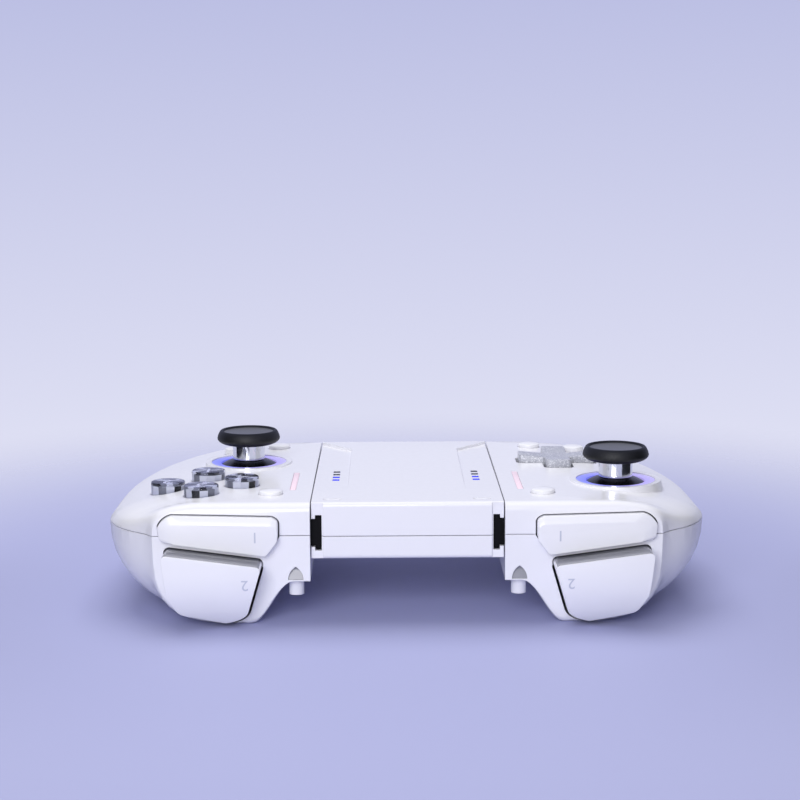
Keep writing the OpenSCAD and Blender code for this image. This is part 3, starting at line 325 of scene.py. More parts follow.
def half_width(node):
    """Half of a node's width, in millimetres."""
    return (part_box(node)[1].x - middle(node)[0]) / MM


def wire(tree, node, inputs):
    """Set a node's inputs to values, or link them to other sockets."""
    for socket, value in inputs.items():
        if isinstance(value, bpy.types.NodeSocket):
            tree.links.new(value, node.inputs[socket])
        else:
            node.inputs[socket].default_value = value


def add_node(tree, kind, inputs=None, **settings):
    """Add a node with its settings and links."""
    node = tree.nodes.new(kind)
    for name, value in settings.items():
        setattr(node, name, value)
    wire(tree, node, inputs or {})
    return node


def new_finish(name):
    """Start a material and return it with its tree and its shader."""
    material = bpy.data.materials.new(name)
    material.use_nodes = True
    return material, material.node_tree, material.node_tree.nodes["Principled BSDF"]


def noise(tree, grain, detail):
    """Noise over a piece, with its grain in millimetres."""
    place = add_node(tree, "ShaderNodeTexCoord")
    return add_node(tree, "ShaderNodeTexNoise",
                    {"Vector": place.outputs["Object"], "Scale": 1 / (grain * MM),
                     "Detail": detail}).outputs["Fac"]


def cells(tree, grain):
    """Cells over a piece, with their size in millimetres."""
    place = add_node(tree, "ShaderNodeTexCoord")
    return add_node(tree, "ShaderNodeTexVoronoi",
                    {"Vector": place.outputs["Object"], "Scale": 1 / (grain * MM)}).outputs


def between(tree, value, low, high):
    """A share spread between a low and a high value."""
    return add_node(tree, "ShaderNodeMapRange",
                    {"Value": value, "To Min": low, "To Max": high}).outputs["Result"]


def blend(tree, share, first, second):
    """A colour mixed from two."""
    return add_node(tree, "ShaderNodeMix", {"Factor": share, "A": first, "B": second},
                    data_type="RGBA").outputs["Result"]


def soft_edge(tree, radius, samples):
    """A normal that rounds the edges."""
    return add_node(tree, "ShaderNodeBevel", {"Radius": radius}, samples=samples).outputs["Normal"]


def relief(tree, height, strength, depth, normal=None):
    """A normal that follows a height, with the relief's depth in millimetres."""
    inputs = {"Height": height, "Strength": strength, "Distance": depth * MM}
    if normal is not None:
        inputs["Normal"] = normal
    return add_node(tree, "ShaderNodeBump", inputs).outputs["Normal"]


def moulded_white(name, tint):
    """Moulded ABS from a polished tool: an even gloss, a trace of orange peel and soft edges."""
    material, tree, shader = new_finish(name)
    peel = noise(tree, 1.5, 2.0)
    edge = soft_edge(tree, bpy.context.scene.pad_sizes.edge_round, 6)
    wire(tree, shader, {"Base Color": tint, "Roughness": between(tree, peel, 0.2, 0.27),
                        "IOR": 1.53, "Coat Weight": 0.15, "Coat Roughness": 0.08,
                        "Normal": relief(tree, peel, 0.03, 0.05, edge)})
    return material


def cap_rubber():
    """Moulded silicone rubber: black, dull, with a fine leathery grain."""
    material, tree, shader = new_finish("cap_rubber")
    grain = cells(tree, 0.45)["Distance"]
    wire(tree, shader, {"Base Color": bpy.context.scene.pad_colours.rubber, "IOR": 1.45,
                        "Roughness": between(tree, grain, 0.48, 0.6),
                        "Normal": relief(tree, grain, 0.15, 0.08)})
    return material


def cap_dish():
    """Moulded thermoplastic insert in the cap: dark grey, satin, finely grained; its grey is partly
    its own and partly painted reflection, lightened in place of the lamp above.
    """
    material, tree, shader = new_finish("cap_dish")
    wire(tree, shader, {"Base Color": bpy.context.scene.pad_colours.dish, "Roughness": 0.36,
                        "IOR": 1.5, "Normal": relief(tree, noise(tree, 0.3, 2.0), 0.12, 0.05)})
    return material


def stem_chrome():
    """Chrome-plated brass, polished: a bright mirror with the faintest smear."""
    material, tree, shader = new_finish("stem_chrome")
    wire(tree, shader, {"Base Color": bpy.context.scene.pad_colours.chrome, "Metallic": 1.0,
                        "Roughness": between(tree, noise(tree, 2, 3.0), 0.08, 0.16)})
    return material


def stick_black():
    """Moulded acetal: deep black and slippery, with a soft gloss."""
    material, tree, shader = new_finish("stick_black")
    wire(tree, shader, {"Base Color": bpy.context.scene.pad_colours.skirt, "IOR": 1.48,
                        "Roughness": between(tree, noise(tree, 3, 2.0), 0.22, 0.34)})
    return material


def rail_black():
    """Glass-filled nylon: satin black with a fine moulded grain."""
    material, tree, shader = new_finish("rail_black")
    edge = soft_edge(tree, 0.25 * MM, 4)
    wire(tree, shader, {"Base Color": bpy.context.scene.pad_colours.rail, "Roughness": 0.5,
                        "Specular IOR Level": 0.12,
                        "Normal": relief(tree, noise(tree, 0.4, 3.0), 0.2, 0.06, edge)})
    return material


def ring_glow(name, node):
    """Frosted acrylic light guide, lit from below: cool on one side, warm on the other."""
    tints = bpy.context.scene.pad_colours
    low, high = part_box(node)
    radius = (high.x - low.x) / 2
    material, tree, shader = new_finish(name)
    place = add_node(tree, "ShaderNodeTexCoord")
    local = add_node(tree, "ShaderNodeVectorMath",
                     {0: place.outputs["Object"], 1: tuple((low + high) / 2)}, operation="SUBTRACT")
    axes = add_node(tree, "ShaderNodeSeparateXYZ", {"Vector": local.outputs["Vector"]})
    across = add_node(tree, "ShaderNodeMapRange",
                      {"Value": axes.outputs["X"], "From Min": -radius, "From Max": radius * 0.6})
    reach = add_node(tree, "ShaderNodeVectorMath", {0: local.outputs["Vector"]}, operation="LENGTH")
    outward = add_node(tree, "ShaderNodeMapRange",
                       {"Value": reach.outputs["Value"], "From Min": radius * 0.66,
                        "From Max": radius, "To Min": 0.0, "To Max": 0.3})
    hue = blend(tree, across.outputs["Result"], tints.ring_cool, tints.ring_warm)
    glow = blend(tree, outward.outputs["Result"], hue, hex_colour("#EDEBFF"))
    wire(tree, shader, {"Base Color": hex_colour("#2A2C55"), "Emission Color": glow,
                        "Emission Strength": 0.8, "Roughness": 0.3})
    return material


def bar_glow():
    """Frosted acrylic bar with a pale pink light behind it."""
    tint = bpy.context.scene.pad_colours.bar
    material, tree, shader = new_finish("bar_glow")
    wire(tree, shader, {"Base Color": tint, "Emission Color": tint, "Emission Strength": 0.08,
                        "Roughness": between(tree, noise(tree, 0.5, 1.0), 0.25, 0.4)})
    return material


def indicator_window(name, tint, power):
    """Clear polycarbonate light pipe, tinted: it glows with the light behind it, or stays dark."""
    material, tree, shader = new_finish(name)
    wire(tree, shader, {"Base Color": tint, "Emission Color": tint, "Emission Strength": power,
                        "Specular IOR Level": 0.1,
                        "Roughness": between(tree, noise(tree, 0.5, 1.0), 0.4, 0.5)})
    return material


def pad_pearl():
    """ABS with a pearl lacquer: satin silver-grey with sparkling flakes, drawn coarse to show."""
    material, tree, shader = new_finish("pad_pearl")
    flakes = cells(tree, 0.3)
    spark = add_node(tree, "ShaderNodeSeparateColor", {"Color": flakes["Color"]})
    few = add_node(tree, "ShaderNodeMapRange",
                   {"Value": spark.outputs["Red"], "From Min": 0.55, "From Max": 1.0,
                    "To Max": 0.6})
    pearl = bpy.context.scene.pad_colours.pearl
    tone = blend(tree, few.outputs["Result"], pearl, hex_colour("#FBFBFF"))
    wire(tree, shader, {"Base Color": tone, "Metallic": 0.12, "IOR": 1.5,
                        "Roughness": between(tree, flakes["Distance"], 0.22, 0.42),
                        "Normal": relief(tree, flakes["Distance"], 0.2, 0.05)})
    return material


def crystal_clear():
    """Cast clear resin, polished: glass-like, with a hint of ripple."""
    material, tree, shader = new_finish("crystal_clear")
    wire(tree, shader, {"Base Color": hex_colour("#F6F8FF"), "Roughness": 0.015, "IOR": 1.4,
                        "Transmission Weight": 1.0,
                        "Normal": relief(tree, noise(tree, 4, 0.0), 0.04, 0.1)})
    return material


def silvered_facet(name, tint):
    """Vacuum-silvered ABS prism inside a clear button: flat mirror facets with a fine haze, whose
    dark, grey or pale tint is painted reflection.
    """
    material, tree, shader = new_finish(name)
    wire(tree, shader, {"Base Color": tint, "Metallic": 0.3,
                        "Roughness": between(tree, noise(tree, 0.8, 2.0), 0.1, 0.22)})
    return material


def mark_ink(name, tint):
    """Pad-printed ink: flat and slightly uneven."""
    material, tree, shader = new_finish(name)
    wire(tree, shader, {"Base Color": tint,
                        "Roughness": between(tree, noise(tree, 0.6, 2.0), 0.4, 0.6)})
    return material


def inner_plain(name, pale, deep, grain, roughness, metallic):
    """An inner part's finish: a mottled tone between two colours, at the grain's size."""
    material, tree, shader = new_finish(name)
    mottle = noise(tree, grain, 4.0)
    wire(tree, shader, {"Base Color": blend(tree, mottle, hex_colour(deep), hex_colour(pale)),
                        "Roughness": roughness, "Metallic": metallic,
                        "Normal": relief(tree, mottle, 0.1, 0.05)})
    return material


def make_finish(slot):
    """Make the material of one slot of the record, or the grey of painted shade on the trigger tops
    and recesses.
    """
    tints = bpy.context.scene.pad_colours
    moulded = {"shell_white": tints.shell, "button_white": tints.keys, "painted_shade_grey": tints.ledge}
    if slot in moulded:
        return moulded_white(slot, moulded[slot])
    if slot == "indicator_glow":
        return indicator_window("indicator_glow", tints.lit, 0.5)
    if slot == "ring_glow":
        return ring_glow("ring_glow", "left_ring_light")
    makers = {"cap_rubber": cap_rubber, "stem_chrome": stem_chrome, "stick_black": stick_black,
              "rail_black": rail_black, "bar_glow": bar_glow, "pad_pearl": pad_pearl,
              "crystal_clear": crystal_clear}
    if slot in makers:
        return makers[slot]()
    inner = {
        "circuit_board": ("#2F6B4F", "#1E4A37", 1.2, 0.35, 0.0),
        "battery_grey": ("#8C8F96", "#70737A", 3.0, 0.3, 0.4),
        "membrane_grey": ("#8B8D93", "#7A7C82", 0.8, 0.6, 0.0),
        "screw_steel": ("#B9BCC2", "#8D9097", 0.6, 0.3, 1.0),
        "socket_metal": ("#D0D2D8", "#A9ACB4", 1.0, 0.22, 1.0),
        "contact_gold": ("#E2B55C", "#C2913C", 0.8, 0.25, 1.0),
    }
    return inner_plain(slot, *inner[slot])


def finish(slot):
    """The material of one slot, made once."""
    return bpy.data.materials.get(slot) or make_finish(slot)


def settle(piece, body, slot, nodes=(), material=None, angle=35):
    """Smooth a piece, give it its finish and let it ride on its body in place of CAD nodes."""
    select_only(piece)
    bpy.ops.object.shade_smooth_by_angle(angle=math.radians(angle))
    if not piece.data.materials or material or nodes:
        piece.data.materials.clear()
        piece.data.materials.append(material or finish(slot))
    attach(piece, body)
    if nodes:
        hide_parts(*nodes)


def settle_node(piece, node, material=None, angle=35):
    """Settle a piece that stands for one CAD node."""
    settle(piece, NODE_BODY[node], NODE_SLOT[node], (node,), material, angle)


def numeral(text, name, height, matrix, material, body, slot, surface=None):
    """Make a flat numeral, put it on a surface and let it ride on a body."""
    bpy.ops.object.select_all(action="DESELECT")
    bpy.ops.object.text_add()
    piece = bpy.context.active_object
    piece.data.body = text
    piece.data.align_x = "CENTER"
    piece.data.align_y = "CENTER"
    piece.data.size = height * TEXT_SCALE
    bpy.ops.object.convert(target="MESH")
    piece = bpy.context.active_object
    piece.name = name
    piece.matrix_world = matrix
    bpy.ops.object.transform_apply(location=True, rotation=True, scale=True)
    if surface:
        apply_modifier(piece, "SHRINKWRAP", target=surface, wrap_method="PROJECT",
                       use_project_y=True, use_negative_direction=True, use_positive_direction=True,
                       offset=MARK_LIFT)
    apply_modifier(piece, "SOLIDIFY", thickness=MARK_T, offset=1)
    settle(piece, body, slot, material=material)


class GAMEPAD_OT_shells(bpy.types.Operator):
    """Smooth skins over the shells of both halves"""

    bl_idname = "gamepad.shells"
    bl_label = "Half shells"

    def execute(self, context):
        for side in SIDES:
            for name in ("top_shell", "bottom_shell", "back_button"):
                node = f"{side}_{name}"
                piece = cad_copy(node, node + "_skin")
                select_only(piece)
                bpy.ops.object.shade_smooth_by_angle(angle=math.radians(38))
                apply_modifier(piece, "WEIGHTED_NORMAL", keep_sharp=True, weight=60)
                settle_node(piece, node, angle=38)
                if name == "bottom_shell":
                    self.shade_recess(piece, side)
        return {"FINISHED"}

    def shade_recess(self, piece, side):
        """Paint shade into the recess above the release pin, in the same grey as the trigger tops.
        """
        low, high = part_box(f"{side}_release_button")
        pin_x = (low.x + high.x) / 2
        piece.data.materials.append(finish("painted_shade_grey"))
        for face in piece.data.polygons:
            spot = face.center
            deep = SHOULDER_Y + RECESS_NEAR < spot.y < SHOULDER_Y + RECESS_FAR
            level = low.z + RECESS_RISE < spot.z < high.z + RECESS_RISE
            if deep and level and abs(spot.x - pin_x) < RECESS_HALF:
                face.material_index = 1


class GAMEPAD_OT_bridge(bpy.types.Operator):
    """Bridge covers with their side panels, slots and indicator windows"""

    bl_idname = "gamepad.bridge"
    bl_label = "Bridge covers"

    def side_panel(self, side, sizes):
        """A wedge over a side panel, from nothing at its front to the full depth at its rear."""
        low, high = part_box("bridge_top_cover")
        half = sizes.panel_half
        front, rear = low.y + PANEL_FRONT, high.y - PANEL_REAR
        outline = [(half + PANEL_NOTCH, front), (high.x + MM, front), (high.x + MM, rear),
                   (high.x, rear), (half, high.y - PANEL_BEND_REAR),
                   (half, low.y + PANEL_BEND_FRONT)]
        bpy.ops.object.select_all(action="DESELECT")
        bpy.ops.mesh.primitive_circle_add(vertices=len(outline), fill_type="NGON")
        cutter = bpy.context.active_object
        for vertex, (x, y) in zip(cutter.data.vertices, outline):
            sink = sizes.panel_depth * (y - front) / (rear - front)
            vertex.co = (side * x, y, TOP_Z - sink)
        edit(cutter, lambda face: True)
        bpy.ops.mesh.extrude_region_move(TRANSFORM_OT_translate={"value": (0, 0, 3 * MM)})
        bpy.ops.mesh.select_all(action="SELECT")
        bpy.ops.mesh.normals_make_consistent(inside=False)
        leave_edit()
        return cutter

    def block(self, place, size):
        """A block to cut away, given by its centre and its size."""
        bpy.ops.object.select_all(action="DESELECT")
        bpy.ops.mesh.primitive_cube_add(size=1, location=place)
        cutter = bpy.context.active_object
        cutter.scale = size
        bpy.ops.object.transform_apply(location=True, rotation=True, scale=True)
        return cutter

    def dash(self, side, sizes):
        """A short slot near the bridge's front, to be cut away."""
        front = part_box("bridge_top_cover")[0].y
        return self.block((side * SLOT_X, front + SLOT_Y, TOP_Z),
                          (SLOT_L, sizes.groove_w, sizes.groove_w))

    def lip_step(self, side, sizes):
        """A block that sets a rail lip back from the bridge's front."""
        low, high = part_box("bridge_bottom_cover")[0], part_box("bridge_top_cover")[1]
        inner = high.x - sizes.lip_in
        place = (side * (inner + high.x) / 2 + side * MM / 2, low.y + sizes.lip_back / 2 - MM / 2,
                 (low.z + high.z) / 2)
        size = (high.x - inner + MM, sizes.lip_back + MM, high.z - low.z + 2 * MM)
        return self.block(place, size)

    def carve(self, cover, cutter):
        """Cut a block away from a cover."""
        apply_modifier(cover, "BOOLEAN", object=cutter, operation="DIFFERENCE", solver="EXACT")
        bpy.data.objects.remove(cutter)

    def execute(self, context):
        sizes = context.scene.pad_sizes
        cover = cad_copy("bridge_top_cover", "bridge_top_skin", flatten=True)
        windows = cad_copy("bridge_indicator_windows", "bridge_indicator_lights", flatten=True)
        for side in (-1, 1):
            self.carve(cover, self.side_panel(side, sizes))
            self.carve(windows, self.side_panel(side, sizes))
            self.carve(cover, self.dash(side, sizes))
        lower = cad_copy("bridge_bottom_cover", "bridge_bottom_skin", flatten=True)
        for side in (-1, 1):
            self.carve(cover, self.lip_step(side, sizes))
            self.carve(lower, self.lip_step(side, sizes))
        settle_node(cover, "bridge_top_cover", angle=30)
        settle_node(lower, "bridge_bottom_cover", angle=30)
        settle_node(windows, "bridge_indicator_windows", angle=30)
        unlit = context.scene.pad_colours.unlit
        windows.data.materials.append(indicator_window("indicator_dark", unlit, 0.0))
        split = middle("bridge_indicator_windows")[1]
        for face in windows.data.polygons:
            face.material_index = 1 if face.center.y > split else 0
        return {"FINISHED"}


class GAMEPAD_OT_bumpers(bpy.types.Operator):
    """Bumpers with a raised face and a sloping band"""

    bl_idname = "gamepad.bumpers"
    bl_label = "Bumpers"

    def execute(self, context):
        sizes = context.scene.pad_sizes
        for side in SIDES:
            node = f"{side}_bumper"
            piece = cad_copy(node, node + "_crowned", flatten=True)
            low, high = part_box(node)
            levels = [v.co.z for v in piece.data.vertices if v.co.y < low.y + TINY]
            outer = 1 if side == "left" else -1
            inner_x = low.x if side == "left" else high.x
            width = high.x - low.x
            height = max(levels) - min(levels)
            anchor = Vector((inner_x + outer * width * CROWN_KEEP, low.y,
                             min(levels) + height * CROWN_KEEP))
            edit(piece, lambda face: face.normal.y < -0.99 and face.center.y < low.y + 0.1 * MM)
            bpy.ops.transform.translate(value=(0, sizes.crown_depth, 0))
            bpy.ops.mesh.extrude_region_move()
            shrink = (1 - sizes.crown_end / width, 1, 1 - sizes.crown_top / height)
            bpy.ops.transform.resize(value=shrink, center_override=anchor)
            bpy.ops.transform.translate(value=(0, -sizes.crown_depth, 0))
            leave_edit()
            round_edges(piece, sizes.seam_round, angle=20)
            settle_node(piece, node, angle=24)
        return {"FINISHED"}


class GAMEPAD_OT_triggers(bpy.types.Operator):
    """Triggers with rounded edges and painted shade on their tops"""

    bl_idname = "gamepad.triggers"
    bl_label = "Triggers"

    def execute(self, context):
        sizes = context.scene.pad_sizes
        ledge = finish("painted_shade_grey")
        for side in SIDES:
            node = f"{side}_trigger"
            piece = cad_copy(node, node + "_rounded", flatten=True)
            round_edges(piece, sizes.trigger_round, angle=30)
            settle_node(piece, node, angle=30)
            # The second finish is painted shade: a grey on the trigger's upward top faces, where
            # the bumper shades them
            piece.data.materials.append(ledge)
            middle_z = sum(corner.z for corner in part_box(node)) / 2
            for face in piece.data.polygons:
                if face.normal.z > 0.6 and face.center.z > middle_z:
                    face.material_index = 1
        return {"FINISHED"}


class GAMEPAD_OT_round_buttons(bpy.types.Operator):
    """Small round buttons with domed tops"""

    bl_idname = "gamepad.round_buttons"
    bl_label = "Round buttons"

    def execute(self, context):
        sizes = context.scene.pad_sizes
        for side in SIDES:
            for name in ("front_button", "rear_inner_button", "rear_outer_button"):
                node = f"{side}_{name}"
                x, y, low, high = middle(node)
                wide = half_width(node)
                shaft = wide - FLANGE_W
                top = (high - low) / MM
                flange_top = top - SHAFT_H
                flange_low = flange_top - FLANGE_T
                dome = sizes.button_dome / MM
                rim = top - dome - BUTTON_RIM
                profile = [(STEM_R, 0), (STEM_R, flange_low), (wide, flange_low),
                           (wide, flange_top), (shaft, flange_top), (shaft, rim)]
                profile += arc(shaft - BUTTON_RIM, rim, BUTTON_RIM, 0, 70, 4)
                profile += [(shaft * t, top - dome * t * t) for t in (0.75, 0.5, 0.25, 0.0)]
                piece = turned(node + "_domed", (x, y, low), profile, sizes.rings)
                settle_node(piece, node, angle=40)
        return {"FINISHED"}


class GAMEPAD_OT_sticks(bpy.types.Operator):
    """Thumb sticks: caps, chrome sleeves and black skirts"""

    bl_idname = "gamepad.sticks"
    bl_label = "Thumb sticks"

    def execute(self, context):
        sizes = context.scene.pad_sizes
        dish_and_sheen_finish = cap_dish()
        for side in SIDES:
            node = f"{side}_stick_cap"
            x, y, low, high = middle(node)
            wide = half_width(node)
            tall = (high - low) / MM
            belly = tall * CAP_BELLY
            lift = tall * CAP_LIFT
            profile = [(wide * 0.54, lift), (wide * 0.62, lift + 0.02)]
            profile += [(wide * 0.6 + wide * 0.4 * r, belly + (belly - lift) * z)
                        for r, z in arc(0, 0, 1, -80, 0, 9)]
            profile += [(wide * r, tall * z) for r, z in CAP_EDGE]
            rim = wide * CAP_RIM
            profile += [(rim * t, tall * (0.77 + 0.11 * t * t))
                        for t in (1.0, 0.9, 0.75, 0.6, 0.4, 0.2, 0.0)]
            piece = turned(node + "_dished", (x, y, low), profile, sizes.rings)
            settle_node(piece, node, angle=40)
            # The dish faces take the grey that is partly painted reflection
            piece.data.materials.append(dish_and_sheen_finish)
            for face in piece.data.polygons:
                reach = math.hypot(face.center.x - x, face.center.y - y)
                inside = reach < rim * MM and face.center.z > low + tall * 0.6 * MM
                face.material_index = 1 if inside else 0
            self.sleeve(side, low + (lift + SLEEVE_TUCK) * MM, sizes)
            self.skirt(side, sizes)
            node = f"{side}_stick_carriage"
            settle_node(cad_copy(node, node + "_smooth"), node, angle=30)
        return {"FINISHED"}

    def sleeve(self, side, top, sizes):
        """Chrome sleeve from the skirt up into the cap."""
        node = f"{side}_stick_sleeve"
        x, y, low = middle(node)[:3]
        wide = half_width(node)
        foot = -SKIRT_RISE * (1 - sizes.skirt_flat)
        tall = (top - low) / MM
        bore = wide - SLEEVE_T
        profile = [(bore, foot), (wide - SLEEVE_EDGE, foot), (wide, foot + SLEEVE_EDGE),
                   (wide, tall), (bore, tall), (bore, foot)]
        piece = turned(node + "_plated", (x, y, low), profile, sizes.rings, hollow=True)
        settle_node(piece, node, angle=30)

    def skirt(self, side, sizes):
        """The post's dome, pressed flatter to a cone where it shows in the opening."""
        node = f"{side}_stick_post"
        piece = cad_copy(node, node + "_skirt")
        x, y = middle(node)[:2]
        base = TOP_Z - SKIRT_BASE

        def on_cone(face):
            reach = math.hypot(face.center.x - x, face.center.y - y)
            return face.center.z > base and SKIRT_IN < reach < SKIRT_OUT and face.normal.z > 0.2

        edit(piece, on_cone)
        bpy.ops.transform.resize(value=(1, 1, sizes.skirt_flat), center_override=(x, y, base))
        leave_edit()
        settle_node(piece, node, angle=35)


class GAMEPAD_OT_lights(bpy.types.Operator):
    """Light rings round the sticks and light bars beside the inner edges"""

    bl_idname = "gamepad.lights"
    bl_label = "Lights"

    def execute(self, context):
        for side in SIDES:
            node = f"{side}_ring_light"
            material = ring_glow(f"{side}_ring_glow", node)
            settle_node(cad_copy(node, node + "_lit"), node, material=material, angle=30)
            node = f"{side}_light_bar"
            piece = cad_copy(node, node + "_lit", flatten=True)
            round_edges(piece, 0.25 * MM)
            settle_node(piece, node)
        return {"FINISHED"}


class GAMEPAD_OT_rails(bpy.types.Operator):
    """Slide rails and the release pins under them"""

    bl_idname = "gamepad.rails"
    bl_label = "Rails and pins"

    def execute(self, context):
        sizes = context.scene.pad_sizes
        for side in SIDES:
            node = f"{side}_rail"
            piece = cad_copy(node, node + "_smooth", flatten=True)
            settle_node(piece, node, angle=30)
            node = f"{side}_release_button"
            piece = cad_copy(node, node + "_rounded", flatten=True)
            round_edges(piece, sizes.seam_round)
            settle_node(piece, node)
        return {"FINISHED"}


class GAMEPAD_OT_face_buttons(bpy.types.Operator):
    """Clear face buttons with silvered facets in tones of painted reflection, and numerals inside
    """

    bl_idname = "gamepad.face_buttons"
    bl_label = "Clear face buttons"

    def execute(self, context):
        sizes = context.scene.pad_sizes
        tints = context.scene.pad_colours
        facets = [silvered_facet(f"facet_{tone}", getattr(tints, f"facet_{tone}"))
                  for tone in ("pale", "mid", "dark")]
        ink = mark_ink("key_ink", hex_colour("#F4F5FB"))
        turn = Matrix.Rotation(math.pi, 4, "Z")
        for number, name in enumerate(("rear", "outer", "front", "inner"), 1):
            node = f"{name}_face_button"
            x, y, low, high = middle(node)
            wide = half_width(node)
            shaft = wide - FLANGE_W
            top = (high - low) / MM
            rim = top - KEY_RIM
            profile = [(wide, 0), (wide, FLANGE_T), (shaft, FLANGE_T), (shaft, rim)]
            profile += arc(shaft - KEY_RIM, rim, KEY_RIM, 0, 80, 5)
            profile += [(shaft * 0.5, top - 0.02), (0, top)]
            body = turned(node + "_clear", (x, y, low), profile, sizes.rings)
            settle_node(body, node, angle=40)
            gem = [(shaft - GEM_WALL, GEM_FOOT), (shaft - GEM_WALL, top - GEM_WAIST),
                   (shaft - GEM_LIP, top - GEM_GIRDLE), (shaft * GEM_TABLE_SHARE, top - GEM_TABLE),
                   (0, top - GEM_TABLE)]
            core = turned(node + "_facets", (x, y, low), gem, FACETS)
            for tone in facets:
                core.data.materials.append(tone)
            # Each facet takes the tone of its sector, turned per button: painted reflection
            for face in core.data.polygons:
                turn_share = math.atan2(face.center.y - y, face.center.x - x) / (2 * math.pi)
                sector = int((turn_share + number * KEY_TURN) * FACETS) % FACETS
                crown = face.center.z > low + (top - CROWN_FROM) * MM
                face.material_index = (CROWN_REFLECTION_TONES if crown else DRUM_REFLECTION_TONES)[sector]
            settle(core, NODE_BODY[node], "crystal_clear", angle=5)
            place = Matrix.Translation((x, y, low + (top - KEY_MARK_DEPTH) * MM)) @ turn
            numeral(str(number), f"{node}_mark", sizes.key_mark_h, place, ink, NODE_BODY[node],
                    "crystal_clear")
        return {"FINISHED"}


class GAMEPAD_OT_direction_pad(bpy.types.Operator):
    """Direction pad: a dished cross with rounded arms"""

    bl_idname = "gamepad.direction_pad"
    bl_label = "Direction pad"

    def execute(self, context):
        sizes = context.scene.pad_sizes
        x, y, low, high = middle("direction_pad")
        arm = (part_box("direction_pad")[1].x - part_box("direction_pad")[0].x) / 2
        half = ARM_HALF
        floor = TOP_Z - PAD_SINK
        bpy.ops.object.select_all(action="DESELECT")
        bpy.ops.mesh.primitive_cube_add(size=1, location=(x, y, (floor + high) / 2))
        piece = bpy.context.active_object
        piece.name = "direction_pad_dished"
        piece.scale = (half * 2, half * 2, high - floor)
        bpy.ops.object.transform_apply(location=True, rotation=True, scale=True)
        for way in (Vector((1, 0, 0)), Vector((-1, 0, 0)), Vector((0, 1, 0)), Vector((0, -1, 0))):
            edit(piece, lambda face: face.normal.dot(way) > 0.9
                 and (face.center - Vector((x, y, face.center.z))).length < half * 1.1)
            bpy.ops.mesh.extrude_region_move(TRANSFORM_OT_translate={"value": way * (arm - half)})
            leave_edit()
        edit(piece, lambda face: face.normal.z < -0.9
             and (face.center - Vector((x, y, face.center.z))).length < half * 0.5)
        bpy.ops.mesh.inset(thickness=FOOT_INSET)
        bpy.ops.mesh.extrude_region_move(TRANSFORM_OT_translate={"value": (0, 0, low - floor)})
        leave_edit()
        for vertex in piece.data.vertices:
            near = max(abs(vertex.co.x - x), abs(vertex.co.y - y)) < half * 1.01
            if near and vertex.co.z > high - TINY:
                vertex.co.z -= sizes.dish_depth
        select_only(piece)
        bpy.context.tool_settings.mesh_select_mode = (False, True, False)
        bpy.ops.object.mode_set(mode="EDIT")
        bpy.ops.mesh.select_all(action="DESELECT")
        leave_edit()
        points = piece.data.vertices
        for side in piece.data.edges:
            run = points[side.vertices[0]].co - points[side.vertices[1]].co
            tops = min(points[k].co.z for k in side.vertices)
            side.select = abs(run.x) + abs(run.y) < TINY and tops > floor - TINY
        bpy.ops.object.mode_set(mode="EDIT")
        bpy.ops.mesh.bevel(offset=ARM_ROUND, segments=5)
        leave_edit()
        round_edges(piece, sizes.seam_round, angle=40)
        settle_node(piece, "direction_pad", angle=32)
        return {"FINISHED"}


class GAMEPAD_OT_marks(bpy.types.Operator):
    """Plain numerals on the bumpers and the triggers"""

    bl_idname = "gamepad.marks"
    bl_label = "Numerals"

    def execute(self, context):
        sizes = context.scene.pad_sizes
        ink = mark_ink("mark_ink", context.scene.pad_colours.mark)
        facing = Matrix.Rotation(math.pi, 4, "Z") @ Matrix.Rotation(-math.pi / 2, 4, "X")
        for side in SIDES:
            way = 1 if side == "left" else -1
            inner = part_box("left_top_shell")[0].x
            for name, text, skin, out, drop in MARKS:
                node = f"{side}_{name}"
                surface = bpy.data.objects[f"{node}_{skin}"]
                place = Vector((way * (inner + out * MM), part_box(node)[0].y - MARK_START,
                                TOP_Z - drop * MM))
                numeral(text, f"{node}_mark", sizes.mark_h, Matrix.Translation(place) @ facing, ink,
                        NODE_BODY[node], NODE_SLOT[node], surface)
        return {"FINISHED"}


class GAMEPAD_OT_insides(bpy.types.Operator):
    """Finishes of the CAD pieces that stay as they are"""

    bl_idname = "gamepad.insides"
    bl_label = "Inner parts"

    def execute(self, context):
        for piece in frame["nodes"].values():
            piece.data.materials.clear()
        for plain in list(bpy.data.materials):
            bpy.data.materials.remove(plain)
        for node, piece in frame["nodes"].items():
            piece.data.materials.append(finish(NODE_SLOT[node]))
        return {"FINISHED"}


